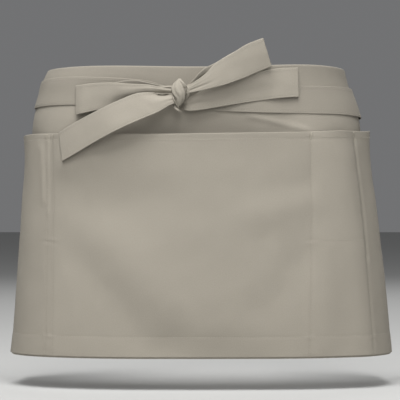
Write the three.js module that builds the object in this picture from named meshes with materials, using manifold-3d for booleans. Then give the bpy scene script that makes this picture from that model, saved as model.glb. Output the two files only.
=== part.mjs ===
// Short waist apron in the form it has when worn. A rectangular skirt panel hangs from a folded
// waistband and is open at the back. One pocket panel is sewn over its lower front. Two ties leave the
// rear ends of the waistband, cross at the back, come round to the front over the waistband and end in
// a bow with a knot, two loops and two tails.
//
// Millimetres, +Z up, the front faces -Y, and left and right are the viewer's. The origin is the middle
// of the waist opening at the height of the tied belt. A drop is measured down from the top fold of the
// waistband, an arc along the cloth from the middle of the front, and out away from the inner face of
// the skirt panel.
import * as THREE from "three";
import { mergeVertices } from "three/addons/utils/BufferGeometryUtils.js";
import Module from "manifold-3d";

// Overall sizes
const WAIST_TOP = 28;
const SKIRT_LENGTH = 327;
const SKIRT_HALF_ARC = 360;
const SQUARENESS = 2.5;

// Cloth thicknesses and the clearances between layers
const CLOTH = 1.0;
const TIE_CLOTH = 1.6;
const BOW_CLOTH = 1.4;
const KNOT_GAP = 0.3;
const BAND_GAP = 0.65;
const SEAM_GAP = 0.75;

// Waistband and pocket panel
const BAND_DEPTH = 40;
const BAND_TURN = CLOTH + BAND_GAP;
const SKIRT_TOP = 2.5;
const POCKET_TOP = 73;
const POCKET_FOOT = 325.5;
const POCKET_HALF_ARC = 315;

// Knot of the bow
const KNOT = { x: -17, z: -4, front: 13.3, halfWidth: 10.6, halfHeight: 17.6, halfDepth: 10 };
const KNOT_WRAPS = { count: 5, twist: 3.2, height: 0.05 };

// Facets along and across each kind of piece
const SKIRT_COLUMNS = 48;
const GAP_ROWS = 2;
const POCKET_ROWS = 8;
const BAND_WALL_ROWS = 3;
const BAND_FOLD_ROWS = 3;
const TIE_STEPS = 52;
const TIE_ROWS = 4;
const STEPS_PER_ROW = 2;
const RIBBON_ROWS = 6;

// Level sections of the inner face of the skirt, from the top down. The back stays curved round the
// waist and opens out towards the hem.
const SECTIONS = [
  { drop: 0, halfWidth: 173.5, shift: -0.9, frontDepth: 123, rearDepth: 114 },
  { drop: 13, halfWidth: 176.0, shift: -0.6, frontDepth: 123, rearDepth: 115 },
  { drop: 28, halfWidth: 180.3, shift: 0.0, frontDepth: 123, rearDepth: 117 },
  { drop: 42, halfWidth: 185.0, shift: 0.5, frontDepth: 123.6, rearDepth: 119.5 },
  { drop: 56, halfWidth: 188.7, shift: 1.0, frontDepth: 124.8, rearDepth: 123 },
  { drop: 70, halfWidth: 190.3, shift: 1.2, frontDepth: 126, rearDepth: 130 },
  { drop: 108, halfWidth: 192.8, shift: 2.5, frontDepth: 129, rearDepth: 160 },
  { drop: 150, halfWidth: 197.8, shift: 4.5, frontDepth: 131, rearDepth: 203 },
  { drop: 206, halfWidth: 204.8, shift: 6.0, frontDepth: 134, rearDepth: 270 },
  { drop: 262, halfWidth: 212.0, shift: 7.0, frontDepth: 136.5, rearDepth: 340 },
  { drop: 327, halfWidth: 219.4, shift: 7.2, frontDepth: 139, rearDepth: 420 },
];

// Soft folds of the hanging cloth. Each is a straight crest, or a valley where the rise is negative.
const FOLDS = [
  { fromArc: -138, fromDrop: 138, toArc: -80, toDrop: 136, spread: 22, rise: -1.8 },
  { fromArc: -114, fromDrop: 180, toArc: -22, toDrop: 278, spread: 30, rise: 2.8 },
  { fromArc: -146, fromDrop: 210, toArc: -51, toDrop: 312, spread: 22, rise: -1.5 },
  { fromArc: -20, fromDrop: 322, toArc: 52, toDrop: 344, spread: 32, rise: -4.5 },
  { fromArc: 60, fromDrop: 166, toArc: 125, toDrop: 154, spread: 16, rise: 1.4 },
  { fromArc: 75, fromDrop: 140, toArc: 125, toDrop: 128, spread: 13, rise: -1.0 },
  { fromArc: 118, fromDrop: 210, toArc: 70, toDrop: 270, spread: 20, rise: -1.8 },
  { fromArc: 141, fromDrop: 205, toArc: 139, toDrop: 310, spread: 20, rise: 2.0 },
  { fromArc: 252, fromDrop: 120, toArc: 262, toDrop: 327, spread: 26, rise: 2.5 },
  { fromArc: -250, fromDrop: 150, toArc: -266, toDrop: 327, spread: 26, rise: 2.2 },
  { fromArc: -330, fromDrop: 110, toArc: -342, toDrop: 327, spread: 24, rise: -4.0 },
  { fromArc: 326, fromDrop: 110, toArc: 340, toDrop: 327, spread: 24, rise: -4.0 },
];

// Places where the top fold of the waistband stands a little higher
const CRESTS = [
  { arc: -120, spread: 80, lift: 2.2 },
  { arc: 135, spread: 75, lift: 4.0 },
];

// Places where the mouth of the pocket panel stands higher, or lower where the lift is negative
const MOUTH_LIFTS = [
  { arc: -262, spread: 42, lift: -3.5 },
  { arc: 268, spread: 46, lift: 4.5 },
];

// Compartments between the rows of stitching, with how far each mouth stands open and how deep it is
const POCKETS = [
  { from: -POCKET_HALF_ARC, to: -177, gape: 7.4, foot: 300 },
  { from: -177, to: 128, gape: 12, foot: 303 },
  { from: 128, to: 200, gape: 8.4, foot: 196 },
  { from: 200, to: POCKET_HALF_ARC, gape: 7.8, foot: 300 },
];

// Routes of the two ties round the waist, by the angle travelled from the rear end of the waistband.
// Each passes over the root of the other and changes layers where the two lie one above the other.
const TIE_ROOT_ANGLE = 122;
const TIE_LEFT_ROUTE = [
  { turn: 0, z: 8, out: 3.9, width: 31 },
  { turn: 12, z: 9.5, out: 3.9, width: 31 },
  { turn: 42, z: 16.5, out: 3.9, width: 31 },
  { turn: 72, z: 16.5, out: 6.4, width: 31 },
  { turn: 104, z: 9, out: 6.4, width: 31 },
  { turn: 124, z: 3, out: 6.2, width: 31 },
  { turn: 148, z: 0, out: 4.4, width: 31 },
  { turn: 178, z: 2.2, out: 4.4, width: 32 },
  { turn: 203, z: -0.5, out: 4.1, width: 31 },
  { turn: 214, z: -2, out: 4.0, width: 28 },
  { turn: 222, z: -3.4, out: 4.8, width: 20 },
  { turn: 227, z: -4, out: 5.6, width: 12 },
];
const TIE_RIGHT_ROUTE = [
  { turn: 0, z: 6, out: 3.9, width: 31 },
  { turn: 12, z: 3, out: 3.9, width: 31 },
  { turn: 42, z: -16.5, out: 3.9, width: 31 },
  { turn: 72, z: -16.5, out: 6.4, width: 31 },
  { turn: 104, z: -12, out: 6.4, width: 31 },
  { turn: 126, z: -11, out: 6.6, width: 32 },
  { turn: 148, z: -10, out: 5.8, width: 33 },
  { turn: 170, z: -8.3, out: 4.8, width: 32 },
  { turn: 190, z: -8.4, out: 4.7, width: 31 },
  { turn: 214, z: -7.4, out: 4.3, width: 31 },
  { turn: 232, z: -6.5, out: 3.9, width: 28 },
  { turn: 241, z: -5.5, out: 4.6, width: 22 },
  { turn: 248, z: -5, out: 5.6, width: 14 },
];

// Bow pieces as seen from the front, a row for each section from the knot outwards. Lean tips the upper
// edge to the right, front is the distance before the skirt, and pleat is the height of the gathers.
// Tilt, where a table has it, turns the face upwards so that the lower edge stands out further.
const TAIL_LEFT = [
  { x: -19.0, z: -9.0, width: 8.5, lean: -8, front: 17.6, pleat: 1.1, tilt: 0 },
  { x: -29.3, z: -12.3, width: 13.6, lean: -10, front: 20.2, pleat: 0.9, tilt: 0 },
  { x: -38.8, z: -15.6, width: 16.5, lean: -14, front: 23.4, pleat: 0.7, tilt: 8 },
  { x: -50.5, z: -15.8, width: 24.0, lean: -20, front: 26.4, pleat: 0.3, tilt: 11 },
  { x: -64.4, z: -17.7, width: 28.9, lean: -25, front: 27.8, pleat: 0.0, tilt: 13 },
  { x: -94.2, z: -30.6, width: 29.5, lean: -28, front: 26.4, pleat: 0.0, tilt: 14 },
  { x: -124.8, z: -46.0, width: 30.5, lean: -28, front: 17.8, pleat: 0.0, tilt: 13 },
  { x: -152.7, z: -61.6, width: 32.5, lean: -8, front: 10.4, pleat: 0.0, tilt: 8 },
];
const TAIL_RIGHT = [
  { x: -15.4, z: -12.0, width: 13.5, lean: 5, front: 9.6, pleat: 0.9 },
  { x: -6.5, z: -11.8, width: 19.9, lean: 3, front: 9.2, pleat: 0.7 },
  { x: 9.8, z: -7.6, width: 25.0, lean: 0, front: 8.2, pleat: 0.4 },
  { x: 30.5, z: -2.4, width: 28.0, lean: -2, front: 7.5, pleat: 0.1 },
  { x: 52.9, z: 2.8, width: 31.0, lean: -2, front: 7.2, pleat: 0.0 },
  { x: 75.4, z: 6.9, width: 32.5, lean: -2, front: 7.2, pleat: 0.0 },
  { x: 96.9, z: 9.9, width: 33.0, lean: -2, front: 7.8, pleat: 0.0 },
  { x: 116.0, z: 11.2, width: 32.8, lean: -1, front: 9.6, pleat: 0.0 },
];
const LOOP_LEFT = [
  { x: -19.0, z: -2.0, width: 6.5, lean: 0, front: 14.8, pleat: 1.2 },
  { x: -28.3, z: -2.1, width: 6.4, lean: 0, front: 15.4, pleat: 1.2 },
  { x: -39.4, z: -1.4, width: 8.4, lean: 0, front: 17.0, pleat: 1.0 },
  { x: -52.2, z: -0.8, width: 14.0, lean: 5, front: 18.8, pleat: 0.6 },
  { x: -74.1, z: -2.9, width: 21.0, lean: 6, front: 19.6, pleat: 0.2 },
  { x: -96.7, z: -4.2, width: 27.9, lean: 5, front: 18.6, pleat: 0.0 },
  { x: -116.1, z: -6.1, width: 31.0, lean: 0, front: 16.2, pleat: 0.0 },
  { x: -135.1, z: -9.0, width: 32.5, lean: -1, front: 11.2, pleat: 0.0 },
  { x: -116.5, z: -6.4, width: 29.0, lean: 0, front: 7.0, pleat: 0.0 },
  { x: -94.3, z: -3.4, width: 26.0, lean: 2, front: 6.6, pleat: 0.0 },
  { x: -71.6, z: 0.9, width: 23.0, lean: 3, front: 6.8, pleat: 0.1 },
  { x: -51.3, z: 1.1, width: 15.7, lean: 4, front: 7.8, pleat: 0.4 },
  { x: -37.9, z: 2.6, width: 7.0, lean: 5, front: 9.4, pleat: 0.6 },
  { x: -28.3, z: 3.4, width: 5.4, lean: 0, front: 10.4, pleat: 0.6 },
  { x: -19.0, z: 2.6, width: 5.4, lean: 0, front: 10.4, pleat: 0.6 },
];
const LOOP_RIGHT = [
  { x: -16.5, z: -0.4, width: 7.4, lean: -8, front: 16.4, pleat: 1.1 },
  { x: -8.7, z: 1.2, width: 6.8, lean: -9, front: 17.0, pleat: 1.1 },
  { x: 1.9, z: 4.7, width: 9.7, lean: -13, front: 17.8, pleat: 0.9 },
  { x: 15.9, z: 9.2, width: 12.2, lean: -22, front: 18.6, pleat: 0.5 },
  { x: 30.9, z: 16.8, width: 19.5, lean: -28, front: 19.0, pleat: 0.2 },
  { x: 48.2, z: 28.7, width: 30.0, lean: -28, front: 18.4, pleat: 0.0 },
  { x: 63.9, z: 37.2, width: 32.5, lean: -22, front: 17.0, pleat: 0.0 },
  { x: 80.6, z: 43.9, width: 32.3, lean: -17, front: 14.8, pleat: 0.0 },
  { x: 63.0, z: 36.0, width: 31.6, lean: -22, front: 11.2, pleat: 0.0 },
  { x: 45.6, z: 28.6, width: 29.0, lean: -27, front: 10.8, pleat: 0.0 },
  { x: 26.8, z: 23.1, width: 25.6, lean: -25, front: 10.8, pleat: 0.0 },
  { x: 12.5, z: 15.5, width: 18.7, lean: -25, front: 11.2, pleat: 0.2 },
  { x: 0.8, z: 8.1, width: 12.1, lean: -22, front: 11.6, pleat: 0.4 },
  { x: -8.7, z: 2.8, width: 7.4, lean: -9, front: 12.0, pleat: 0.6 },
  { x: -16.5, z: 0.2, width: 6.8, lean: -9, front: 12.0, pleat: 0.6 },
];
const PLEAT_WAVES = 1.5;

const COLOURS = { panel: 0xa8a296, band: 0x9f998c, tie: 0xa39d90, bow: 0xaea99c };
const SMALL_TURN = 0.002;
const SMALL_SHARE = 0.001;

const wasm = await Module();
wasm.setup();

// A table read at any value of its key column, on a smooth curve through the rows
function rowAt(table, key, value) {
  let index = 0;
  while (index < table.length - 2 && value > table[index + 1][key]) {
    index += 1;
  }
  const from = table[index];
  const to = table[index + 1];
  const before = table[Math.max(index - 1, 0)];
  const after = table[Math.min(index + 2, table.length - 1)];
  const span = to[key] - from[key];
  const share = THREE.MathUtils.clamp((value - from[key]) / span, 0, 1);
  const row = {};
  for (const column of Object.keys(from)) {
    const slopeFrom = ((to[column] - before[column]) / (to[key] - before[key])) * span;
    const slopeTo = ((after[column] - from[column]) / (after[key] - from[key])) * span;
    const rise = to[column] - from[column];
    const bend = share * (1 - share);
    row[column] =
      from[column] +
      rise * share * share * (3 - 2 * share) +
      bend * (slopeFrom * (1 - share) - slopeTo * share);
  }
  return row;
}

// Point of a level section at an angle from the middle of the front, positive to the right
function sectionPoint(section, angle) {
  const depth = Math.cos(angle) > 0 ? section.frontDepth : section.rearDepth;
  const acrossPart = Math.pow(Math.abs(Math.sin(angle)) / section.halfWidth, SQUARENESS);
  const depthPart = Math.pow(Math.abs(Math.cos(angle)) / depth, SQUARENESS);
  const reach = Math.pow(acrossPart + depthPart, -1 / SQUARENESS);
  return new THREE.Vector2(section.shift + reach * Math.sin(angle), -reach * Math.cos(angle));
}

// Point at an angle and a drop, moved straight out from the skirt
function bodyPoint(drop, angle, out) {
  const section = rowAt(SECTIONS, "drop", drop);
  const point = sectionPoint(section, angle);
  const ahead = sectionPoint(section, angle + SMALL_TURN);
  const along = ahead.sub(sectionPoint(section, angle - SMALL_TURN)).normalize();
  return new THREE.Vector3(point.x + along.y * out, point.y - along.x * out, WAIST_TOP - drop);
}

// Angle at which a section is a given arc away from the middle of the front
function angleAtArc(drop, arc) {
  const section = rowAt(SECTIONS, "drop", drop);
  const step = Math.PI / 360;
  let angle = 0;
  let travelled = 0;
  let point = sectionPoint(section, 0);
  while (angle < Math.PI) {
    const next = sectionPoint(section, angle + step);
    const length = next.distanceTo(point);
    if (travelled + length >= Math.abs(arc)) {
      angle += (step * (Math.abs(arc) - travelled)) / length;
      break;
    }
    travelled += length;
    angle += step;
    point = next;
  }
  return Math.sign(arc) * angle;
}

// Height of the soft folds at a place on the cloth
function foldRise(arc, drop) {
  let rise = 0;
  for (const fold of FOLDS) {
    const start = new THREE.Vector2(fold.fromArc, fold.fromDrop);
    const run = new THREE.Vector2(fold.toArc, fold.toDrop).sub(start);
    const place = new THREE.Vector2(arc, drop).sub(start);
    const share = THREE.MathUtils.clamp(place.dot(run) / run.lengthSq(), 0, 1);
    const away = place.sub(run.multiplyScalar(share)).length() / fold.spread;
    rise += fold.rise * Math.exp(-away * away);
  }
  return rise;
}

// Upward shift of an edge at an arc
function edgeLift(places, arc) {
  let lift = 0;
  for (const place of places) {
    const away = (arc - place.arc) / place.spread;
    lift += place.lift * Math.exp(-away * away);
  }
  return lift;
}

// Upward shift of the top of the apron, gone at the lower edge of the waistband
function crestLift(arc, drop) {
  const fade = THREE.MathUtils.clamp(1 - drop / BAND_DEPTH, 0, 1);
  return edgeLift(CRESTS, arc) * fade;
}

// Point of the hanging cloth at an arc and a drop
function clothPoint(arc, drop, out) {
  const point = bodyPoint(drop, angleAtArc(drop, arc), out + foldRise(arc, drop));
  point.z += crestLift(arc, drop);
  return point;
}

// Distance that the pocket panel stands off the skirt, closed at each row of stitching
function pocketGape(arc, drop) {
  for (const pocket of POCKETS) {
    if (arc > pocket.from && arc < pocket.to && drop < pocket.foot) {
      const across = (arc - pocket.from) / (pocket.to - pocket.from);
      const down = Math.max((drop - POCKET_TOP) / (pocket.foot - POCKET_TOP), 0);
      return pocket.gape * Math.sin(Math.PI * across) * Math.pow(1 - down, 0.9);
    }
  }
  return 0;
}

// Wall of cloth: a flat box bent into place. place() takes the shares along and across the piece and
// the distance from the middle of the cloth.
function clothWall(columns, rows, thickness, place) {
  const geometry = new THREE.BoxGeometry(1, 1, 1, columns, rows, 1);
  const positions = geometry.attributes.position;
  for (let i = 0; i < positions.count; i += 1) {
    const along = positions.getX(i) + 0.5;
    const across = positions.getY(i) + 0.5;
    const point = place(along, across, positions.getZ(i) * thickness);
    positions.setXYZ(i, point.x, point.y, point.z);
  }
  return weld(geometry);
}

function weld(geometry) {
  geometry.deleteAttribute("normal");
  geometry.deleteAttribute("uv");
  return mergeVertices(geometry, 1e-4);
}

// Levels from one drop to another in equal rows, without the first
function levels(fromDrop, toDrop, rows) {
  const drops = [];
  for (let row = 1; row <= rows; row += 1) {
    drops.push(THREE.MathUtils.lerp(fromDrop, toDrop, row / rows));
  }
  return drops;
}

// The rows of the skirt lie level with those of the waistband and the pocket panel
function skirtPanel() {
  const drops = [
    SKIRT_TOP,
    ...levels(SKIRT_TOP, BAND_DEPTH, BAND_WALL_ROWS),
    ...levels(BAND_DEPTH, POCKET_TOP, GAP_ROWS),
    ...levels(POCKET_TOP, POCKET_FOOT, POCKET_ROWS),
    SKIRT_LENGTH,
  ];
  const rows = drops.length - 1;
  return clothWall(SKIRT_COLUMNS, rows, CLOTH, (along, across, side) => {
    const arc = THREE.MathUtils.lerp(-SKIRT_HALF_ARC, SKIRT_HALF_ARC, along);
    const drop = drops[Math.round((1 - across) * rows)];
    return clothPoint(arc, drop, CLOTH / 2 + side);
  });
}

function pocketPanel() {
  const columns = Math.round((SKIRT_COLUMNS * POCKET_HALF_ARC) / SKIRT_HALF_ARC);
  return clothWall(columns, POCKET_ROWS, CLOTH, (along, across, side) => {
    const arc = THREE.MathUtils.lerp(-POCKET_HALF_ARC, POCKET_HALF_ARC, along);
    const mouth = POCKET_TOP - edgeLift(MOUTH_LIFTS, arc);
    const drop = THREE.MathUtils.lerp(POCKET_FOOT, mouth, across);
    const lift = CLOTH + SEAM_GAP + pocketGape(arc, drop);
    return clothPoint(arc, drop, lift + CLOTH / 2 + side);
  });
}

// The waistband is one strip folded over the top edge of the skirt: up the outside, over and down the
// inside. Turn is 0 on the outer wall and a half turn on the inner one.
function waistband() {
  const foldDrop = BAND_TURN + CLOTH / 2;
  const profile = [{ drop: BAND_DEPTH, turn: 0 }];
  for (const drop of levels(BAND_DEPTH, foldDrop, BAND_WALL_ROWS)) {
    profile.push({ drop, turn: 0 });
  }
  for (let row = 1; row <= BAND_FOLD_ROWS; row += 1) {
    profile.push({ drop: foldDrop, turn: (Math.PI * row) / BAND_FOLD_ROWS });
  }
  for (const drop of levels(foldDrop, BAND_DEPTH, BAND_WALL_ROWS)) {
    profile.push({ drop, turn: Math.PI });
  }
  const rows = profile.length - 1;
  return clothWall(SKIRT_COLUMNS, rows, CLOTH, (along, across, side) => {
    const arc = THREE.MathUtils.lerp(-SKIRT_HALF_ARC, SKIRT_HALF_ARC, along);
    const step = profile[Math.round(across * rows)];
    const reach = BAND_TURN + side;
    const drop = step.drop - Math.sin(step.turn) * reach;
    const out = CLOTH / 2 + Math.cos(step.turn) * reach;
    return clothPoint(arc, drop, out);
  });
}

// A tie lies flat round the waist. Side is 1 for the tie that leaves the right rear end of the
// waistband and -1 for the other.
function tie(route, side) {
  const last = route[route.length - 1].turn;
  return clothWall(TIE_STEPS, TIE_ROWS, TIE_CLOTH, (along, across, offset) => {
    const share = side > 0 ? along : 1 - along;
    const row = rowAt(route, "turn", share * last);
    const angle = THREE.MathUtils.degToRad(side * (TIE_ROOT_ANGLE + row.turn));
    const z = row.z + (across - 0.5) * row.width;
    return bodyPoint(WAIST_TOP - z, angle, row.out + offset);
  });
}

// Front face of the skirt at a place seen from the front
function frontFace(x, z) {
  const section = rowAt(SECTIONS, "drop", Math.max(WAIST_TOP - z, 0));
  const share = Math.abs(x - section.shift) / section.halfWidth;
  return -section.frontDepth * Math.pow(1 - Math.pow(share, SQUARENESS), 1 / SQUARENESS);
}

// Middle of the cloth of a bow piece at a number of rows from the knot and a share across its width
function ribbonPoint(rows, step, across) {
  const row = rowAt(rows, "step", step);
  const lean = THREE.MathUtils.degToRad(row.lean);
  const reach = (across - 0.5) * row.width;
  const x = row.x + Math.sin(lean) * reach;
  const z = row.z + Math.cos(lean) * reach;
  const gather = row.pleat * Math.cos(2 * Math.PI * PLEAT_WAVES * across);
  const tipped = Math.tan(THREE.MathUtils.degToRad(row.tilt ?? 0)) * reach;
  return new THREE.Vector3(x, frontFace(x, z) - row.front - gather + tipped, z);
}

// A bow piece on the left runs away from the knot towards -X, so its faces are turned over
function ribbon(table, runsLeft) {
  const rows = table.map((row, step) => ({ ...row, step }));
  const last = rows.length - 1;
  return clothWall(last * STEPS_PER_ROW, RIBBON_ROWS, BOW_CLOTH, (along, across, side) => {
    const step = (runsLeft ? 1 - along : along) * last;
    const point = ribbonPoint(rows, step, across);
    const onward = ribbonPoint(rows, Math.min(step + SMALL_SHARE, last), across);
    onward.sub(ribbonPoint(rows, Math.max(step - SMALL_SHARE, 0), across));
    const upward = ribbonPoint(rows, step, across + SMALL_SHARE);
    upward.sub(ribbonPoint(rows, step, across - SMALL_SHARE));
    const normal = onward.cross(upward).normalize();
    return point.addScaledVector(normal, runsLeft ? -side : side);
  });
}

// The knot is a drop with slanting wraps, round above and narrow below, grown by a clearance
function knot(clearance) {
  const geometry = new THREE.SphereGeometry(1, 20, 13);
  const positions = geometry.attributes.position;
  const middleY = frontFace(KNOT.x, KNOT.z) - KNOT.front;
  for (let i = 0; i < positions.count; i += 1) {
    const height = positions.getY(i);
    const turn = Math.atan2(positions.getZ(i), positions.getX(i));
    const ridge = 1 + KNOT_WRAPS.height * Math.cos(KNOT_WRAPS.count * turn + KNOT_WRAPS.twist * height);
    const taper = (0.84 + 0.26 * height) * ridge;
    const x = KNOT.x + positions.getX(i) * (KNOT.halfWidth * taper + clearance);
    const y = middleY + positions.getZ(i) * (KNOT.halfDepth * taper + clearance);
    const z = KNOT.z + height * (KNOT.halfHeight + clearance);
    positions.setXYZ(i, x, -y + 2 * middleY, z);
  }
  return weld(geometry);
}

function toSolid(geometry) {
  const vertProperties = new Float32Array(geometry.attributes.position.array);
  const triVerts = new Uint32Array(geometry.index.array);
  return new wasm.Manifold(new wasm.Mesh({ numProp: 3, vertProperties, triVerts }));
}

// A piece that runs into the knot is cut back to lie just clear of it
function cutAtKnot(geometry) {
  const mesh = toSolid(geometry).subtract(toSolid(knot(KNOT_GAP))).getMesh();
  const result = new THREE.BufferGeometry();
  result.setAttribute("position", new THREE.BufferAttribute(mesh.vertProperties, 3));
  result.setIndex(new THREE.BufferAttribute(mesh.triVerts, 1));
  return result;
}

function piece(name, geometry, color) {
  const material = new THREE.MeshStandardMaterial({ color, roughness: 0.9, metalness: 0 });
  geometry.computeVertexNormals();
  const mesh = new THREE.Mesh(geometry, material);
  mesh.name = name;
  return mesh;
}

const skirt = new THREE.Group();
skirt.add(piece("skirt_panel", skirtPanel(), COLOURS.panel));
skirt.add(piece("waistband", waistband(), COLOURS.band));
skirt.add(piece("pocket_panel", pocketPanel(), COLOURS.panel));

const ties = new THREE.Group();
ties.add(piece("tie_left", cutAtKnot(tie(TIE_LEFT_ROUTE, 1)), COLOURS.tie));
ties.add(piece("tie_right", cutAtKnot(tie(TIE_RIGHT_ROUTE, -1)), COLOURS.tie));

const bow = new THREE.Group();
bow.add(piece("bow_knot", knot(0), COLOURS.bow));
bow.add(piece("bow_loop_left", cutAtKnot(ribbon(LOOP_LEFT, true)), COLOURS.bow));
bow.add(piece("bow_loop_right", cutAtKnot(ribbon(LOOP_RIGHT, false)), COLOURS.bow));
bow.add(piece("bow_tail_left", cutAtKnot(ribbon(TAIL_LEFT, true)), COLOURS.bow));
bow.add(piece("bow_tail_right", cutAtKnot(ribbon(TAIL_RIGHT, false)), COLOURS.bow));

const apron = new THREE.Group();
apron.add(skirt, ties, bow);

export default apron;
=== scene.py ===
"""Waist apron in the form it has when worn: skirt, waistband, pocket panel, two ties and a bow.

Tables and sizes are in millimetres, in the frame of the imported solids: +Z up, the front faces -Y,
and left and right are the viewer's. They turn into metres when a mesh is made. A drop is measured
down from the top fold of the waistband, an arc along the cloth from the middle of the front, and
out away from the inner face of the skirt panel. Leans, tilts and turns are in degrees.
"""

import logging
import math
from dataclasses import dataclass, field, fields
from enum import Enum
from typing import Sequence

import bpy
import numpy as np
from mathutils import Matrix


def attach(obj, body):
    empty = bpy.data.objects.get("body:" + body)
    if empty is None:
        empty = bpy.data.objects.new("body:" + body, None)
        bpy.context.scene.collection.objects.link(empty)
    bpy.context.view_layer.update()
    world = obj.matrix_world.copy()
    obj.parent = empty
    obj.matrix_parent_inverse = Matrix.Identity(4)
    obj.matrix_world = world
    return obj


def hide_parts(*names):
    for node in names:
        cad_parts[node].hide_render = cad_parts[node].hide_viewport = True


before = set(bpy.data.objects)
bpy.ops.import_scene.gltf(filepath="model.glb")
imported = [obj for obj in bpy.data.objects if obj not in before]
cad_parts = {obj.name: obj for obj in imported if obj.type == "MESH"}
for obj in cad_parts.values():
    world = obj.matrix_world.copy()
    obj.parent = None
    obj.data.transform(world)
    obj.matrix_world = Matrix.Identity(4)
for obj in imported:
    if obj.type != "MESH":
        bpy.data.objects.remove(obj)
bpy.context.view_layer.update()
LOG = logging.getLogger("apron")

MM = 0.001
TINY = 1e-9
FULL_TURN = 2.0 * math.pi
BODY = "root"

Colour = tuple[float, float, float, float]
Place = tuple[float, float, float]


@dataclass(frozen=True)
class Section:
    """A level section of the inner face of the skirt."""

    drop: float
    half_width: float
    shift: float
    front_depth: float
    rear_depth: float


@dataclass(frozen=True)
class Fold:
    """A soft straight crest of the hanging cloth, or a valley where the rise is negative."""

    from_arc: float
    from_drop: float
    to_arc: float
    to_drop: float
    spread: float
    rise: float


@dataclass(frozen=True)
class Crest:
    """A place where an edge stands a little higher, or lower where the lift is negative."""

    arc: float
    spread: float
    lift: float


@dataclass(frozen=True)
class SeamRow:
    """A row of stitching down the pocket panel, by its arc at the mouth and at the foot."""

    mouth_arc: float
    foot_arc: float

    def arc_at(self, drop: np.ndarray) -> np.ndarray:
        """Arc of the row at a drop."""
        share = (drop - POCKET_MOUTH) / (POCKET_FOOT - POCKET_MOUTH)
        return self.mouth_arc + (self.foot_arc - self.mouth_arc) * share


@dataclass(frozen=True)
class Compartment:
    """A pocket between two rows: how far its mouth stands open, its foot and how late it opens."""

    left: SeamRow
    right: SeamRow
    gape: float
    foot: float
    ease: float


@dataclass(frozen=True)
class TieStep:
    """A place on a tie, by the angle travelled from the rear end of the waistband."""

    turn: float
    z: float
    out: float
    width: float


@dataclass(frozen=True)
class BowStep:
    """A section of a bow piece as seen from the front, counted from the knot outwards.

    The front is how far it stands before the skirt, the pleat how deeply it is gathered, and a
    negative tilt brings its lower edge forward.
    """

    x: float
    z: float
    width: float
    lean: float
    front: float
    pleat: float
    tilt: float = 0.0


@dataclass(frozen=True)
class BowCrease:
    """A crease or hollow of a bow piece, at a share up it and a count of rows from the knot."""

    across: float
    step: float
    spread: float
    reach: float
    depth: float


@dataclass(frozen=True)
class RollStep:
    """A section of a roll of cloth in the knot, as seen from the front."""

    x: float
    z: float
    front: float
    half_width: float
    half_depth: float


def table(kind: type, *rows: tuple) -> tuple:
    """Rows of one kind, each given by its values in the order of the fields."""
    return tuple(kind(*row) for row in rows)


SECTIONS = table(
    Section,
    (0, 171.4, 1.0, 123, 114),
    (13, 176.0, -0.6, 123, 115),
    (28, 180.3, 0.0, 123, 117),
    (42, 185.0, 0.5, 123.6, 119.5),
    (56, 188.7, 1.0, 124.8, 123),
    (70, 190.3, 1.2, 126, 130),
    (108, 192.8, 2.5, 129, 160),
    (150, 197.8, 4.5, 131, 203),
    (206, 204.8, 6.0, 134, 270),
    (262, 212.0, 7.0, 136.5, 340),
    (327, 219.4, 7.2, 137.6, 420),
)

FOLDS = table(
    Fold,
    (-150, 108, -124, 98, 16, 3.0),
    (-128, 150, -34, 148, 32, -2.9),
    (8, 74, 62, 72, 20, 1.3),
    (-191, 92, -189, 150, 5, 1.1),
    (-180.5, 80, -181.5, 165, 3, 0.7),
    (199, 80, 204, 215, 4, -1.3),
    (203, 215, 206, 316, 4, -0.5),
    (-102, 200, -10, 298, 30, 2.8),
    (-146, 210, -51, 312, 22, -1.5),
    (-20, 322, 52, 344, 32, -4.5),
    (60, 166, 125, 154, 16, 1.4),
    (75, 140, 125, 128, 13, -0.6),
    (118, 210, 70, 270, 20, -1.8),
    (141, 205, 139, 310, 20, 1.4),
    (184, 104, 194, 330, 22, 3.2),
    (-168, 170, -178, 310, 20, 1.3),
    (-250, 150, -266, 327, 26, 1.4),
    (-330, 110, -342, 327, 24, -4.0),
    (326, 110, 340, 327, 24, -4.0),
)

CREASES = table(
    Fold,
    (60, 55, 128, 71, 3.6, 0.9),
    (-80, 78, 54, 78, 22, -3.5),
    (5, 72, 92, 72, 18, -3.2),
    (-30, 83, 98, 81, 9, -1.5),
)

CRESTS = table(
    Crest,
    (-120, 80, 2.2),
    (135, 75, 4.0),
)

MOUTH_LIFTS = table(
    Crest,
    (-262, 42, -3.5),
    (-50, 130, -3.0),
    (180, 50, 2.2),
    (268, 46, 3.6),
)
POCKET_MOUTH = 73.0
POCKET_FOOT = 325.5
LEFT_SIDE = SeamRow(-315, -315)
LEFT_ROW = SeamRow(-177, -178)
LEFT_OUTER_ROW = SeamRow(-182, -183)
LEFT_INNER_ROW = SeamRow(-172.5, -174)
MIDDLE_ROW = SeamRow(131, 121)
RIGHT_ROW = SeamRow(198, 206)
RIGHT_SIDE = SeamRow(315, 315)
POCKETS = table(
    Compartment,
    (LEFT_SIDE, LEFT_ROW, 7.4, 300, 1.3),
    (LEFT_ROW, MIDDLE_ROW, 10.5, 303, 1.0),
    (MIDDLE_ROW, RIGHT_ROW, 3.4, 196, 1.5),
    (RIGHT_ROW, RIGHT_SIDE, 7.8, 300, 1.8),
)

TIE_LEFT = table(
    TieStep,
    (0, 8, 3.9, 31),
    (12, 9.5, 3.9, 31),
    (42, 16.5, 3.9, 31),
    (72, 16.5, 6.4, 31),
    (104, 9, 6.4, 31),
    (124, 3, 6.2, 31),
    (148, 0, 4.0, 31),
    (178, 2.2, 2.7, 32),
    (203, -0.5, 2.7, 31),
    (214, -2, 2.8, 28),
    (222, -3.4, 3.8, 20),
    (227, -4, 5.6, 12),
)

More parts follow.
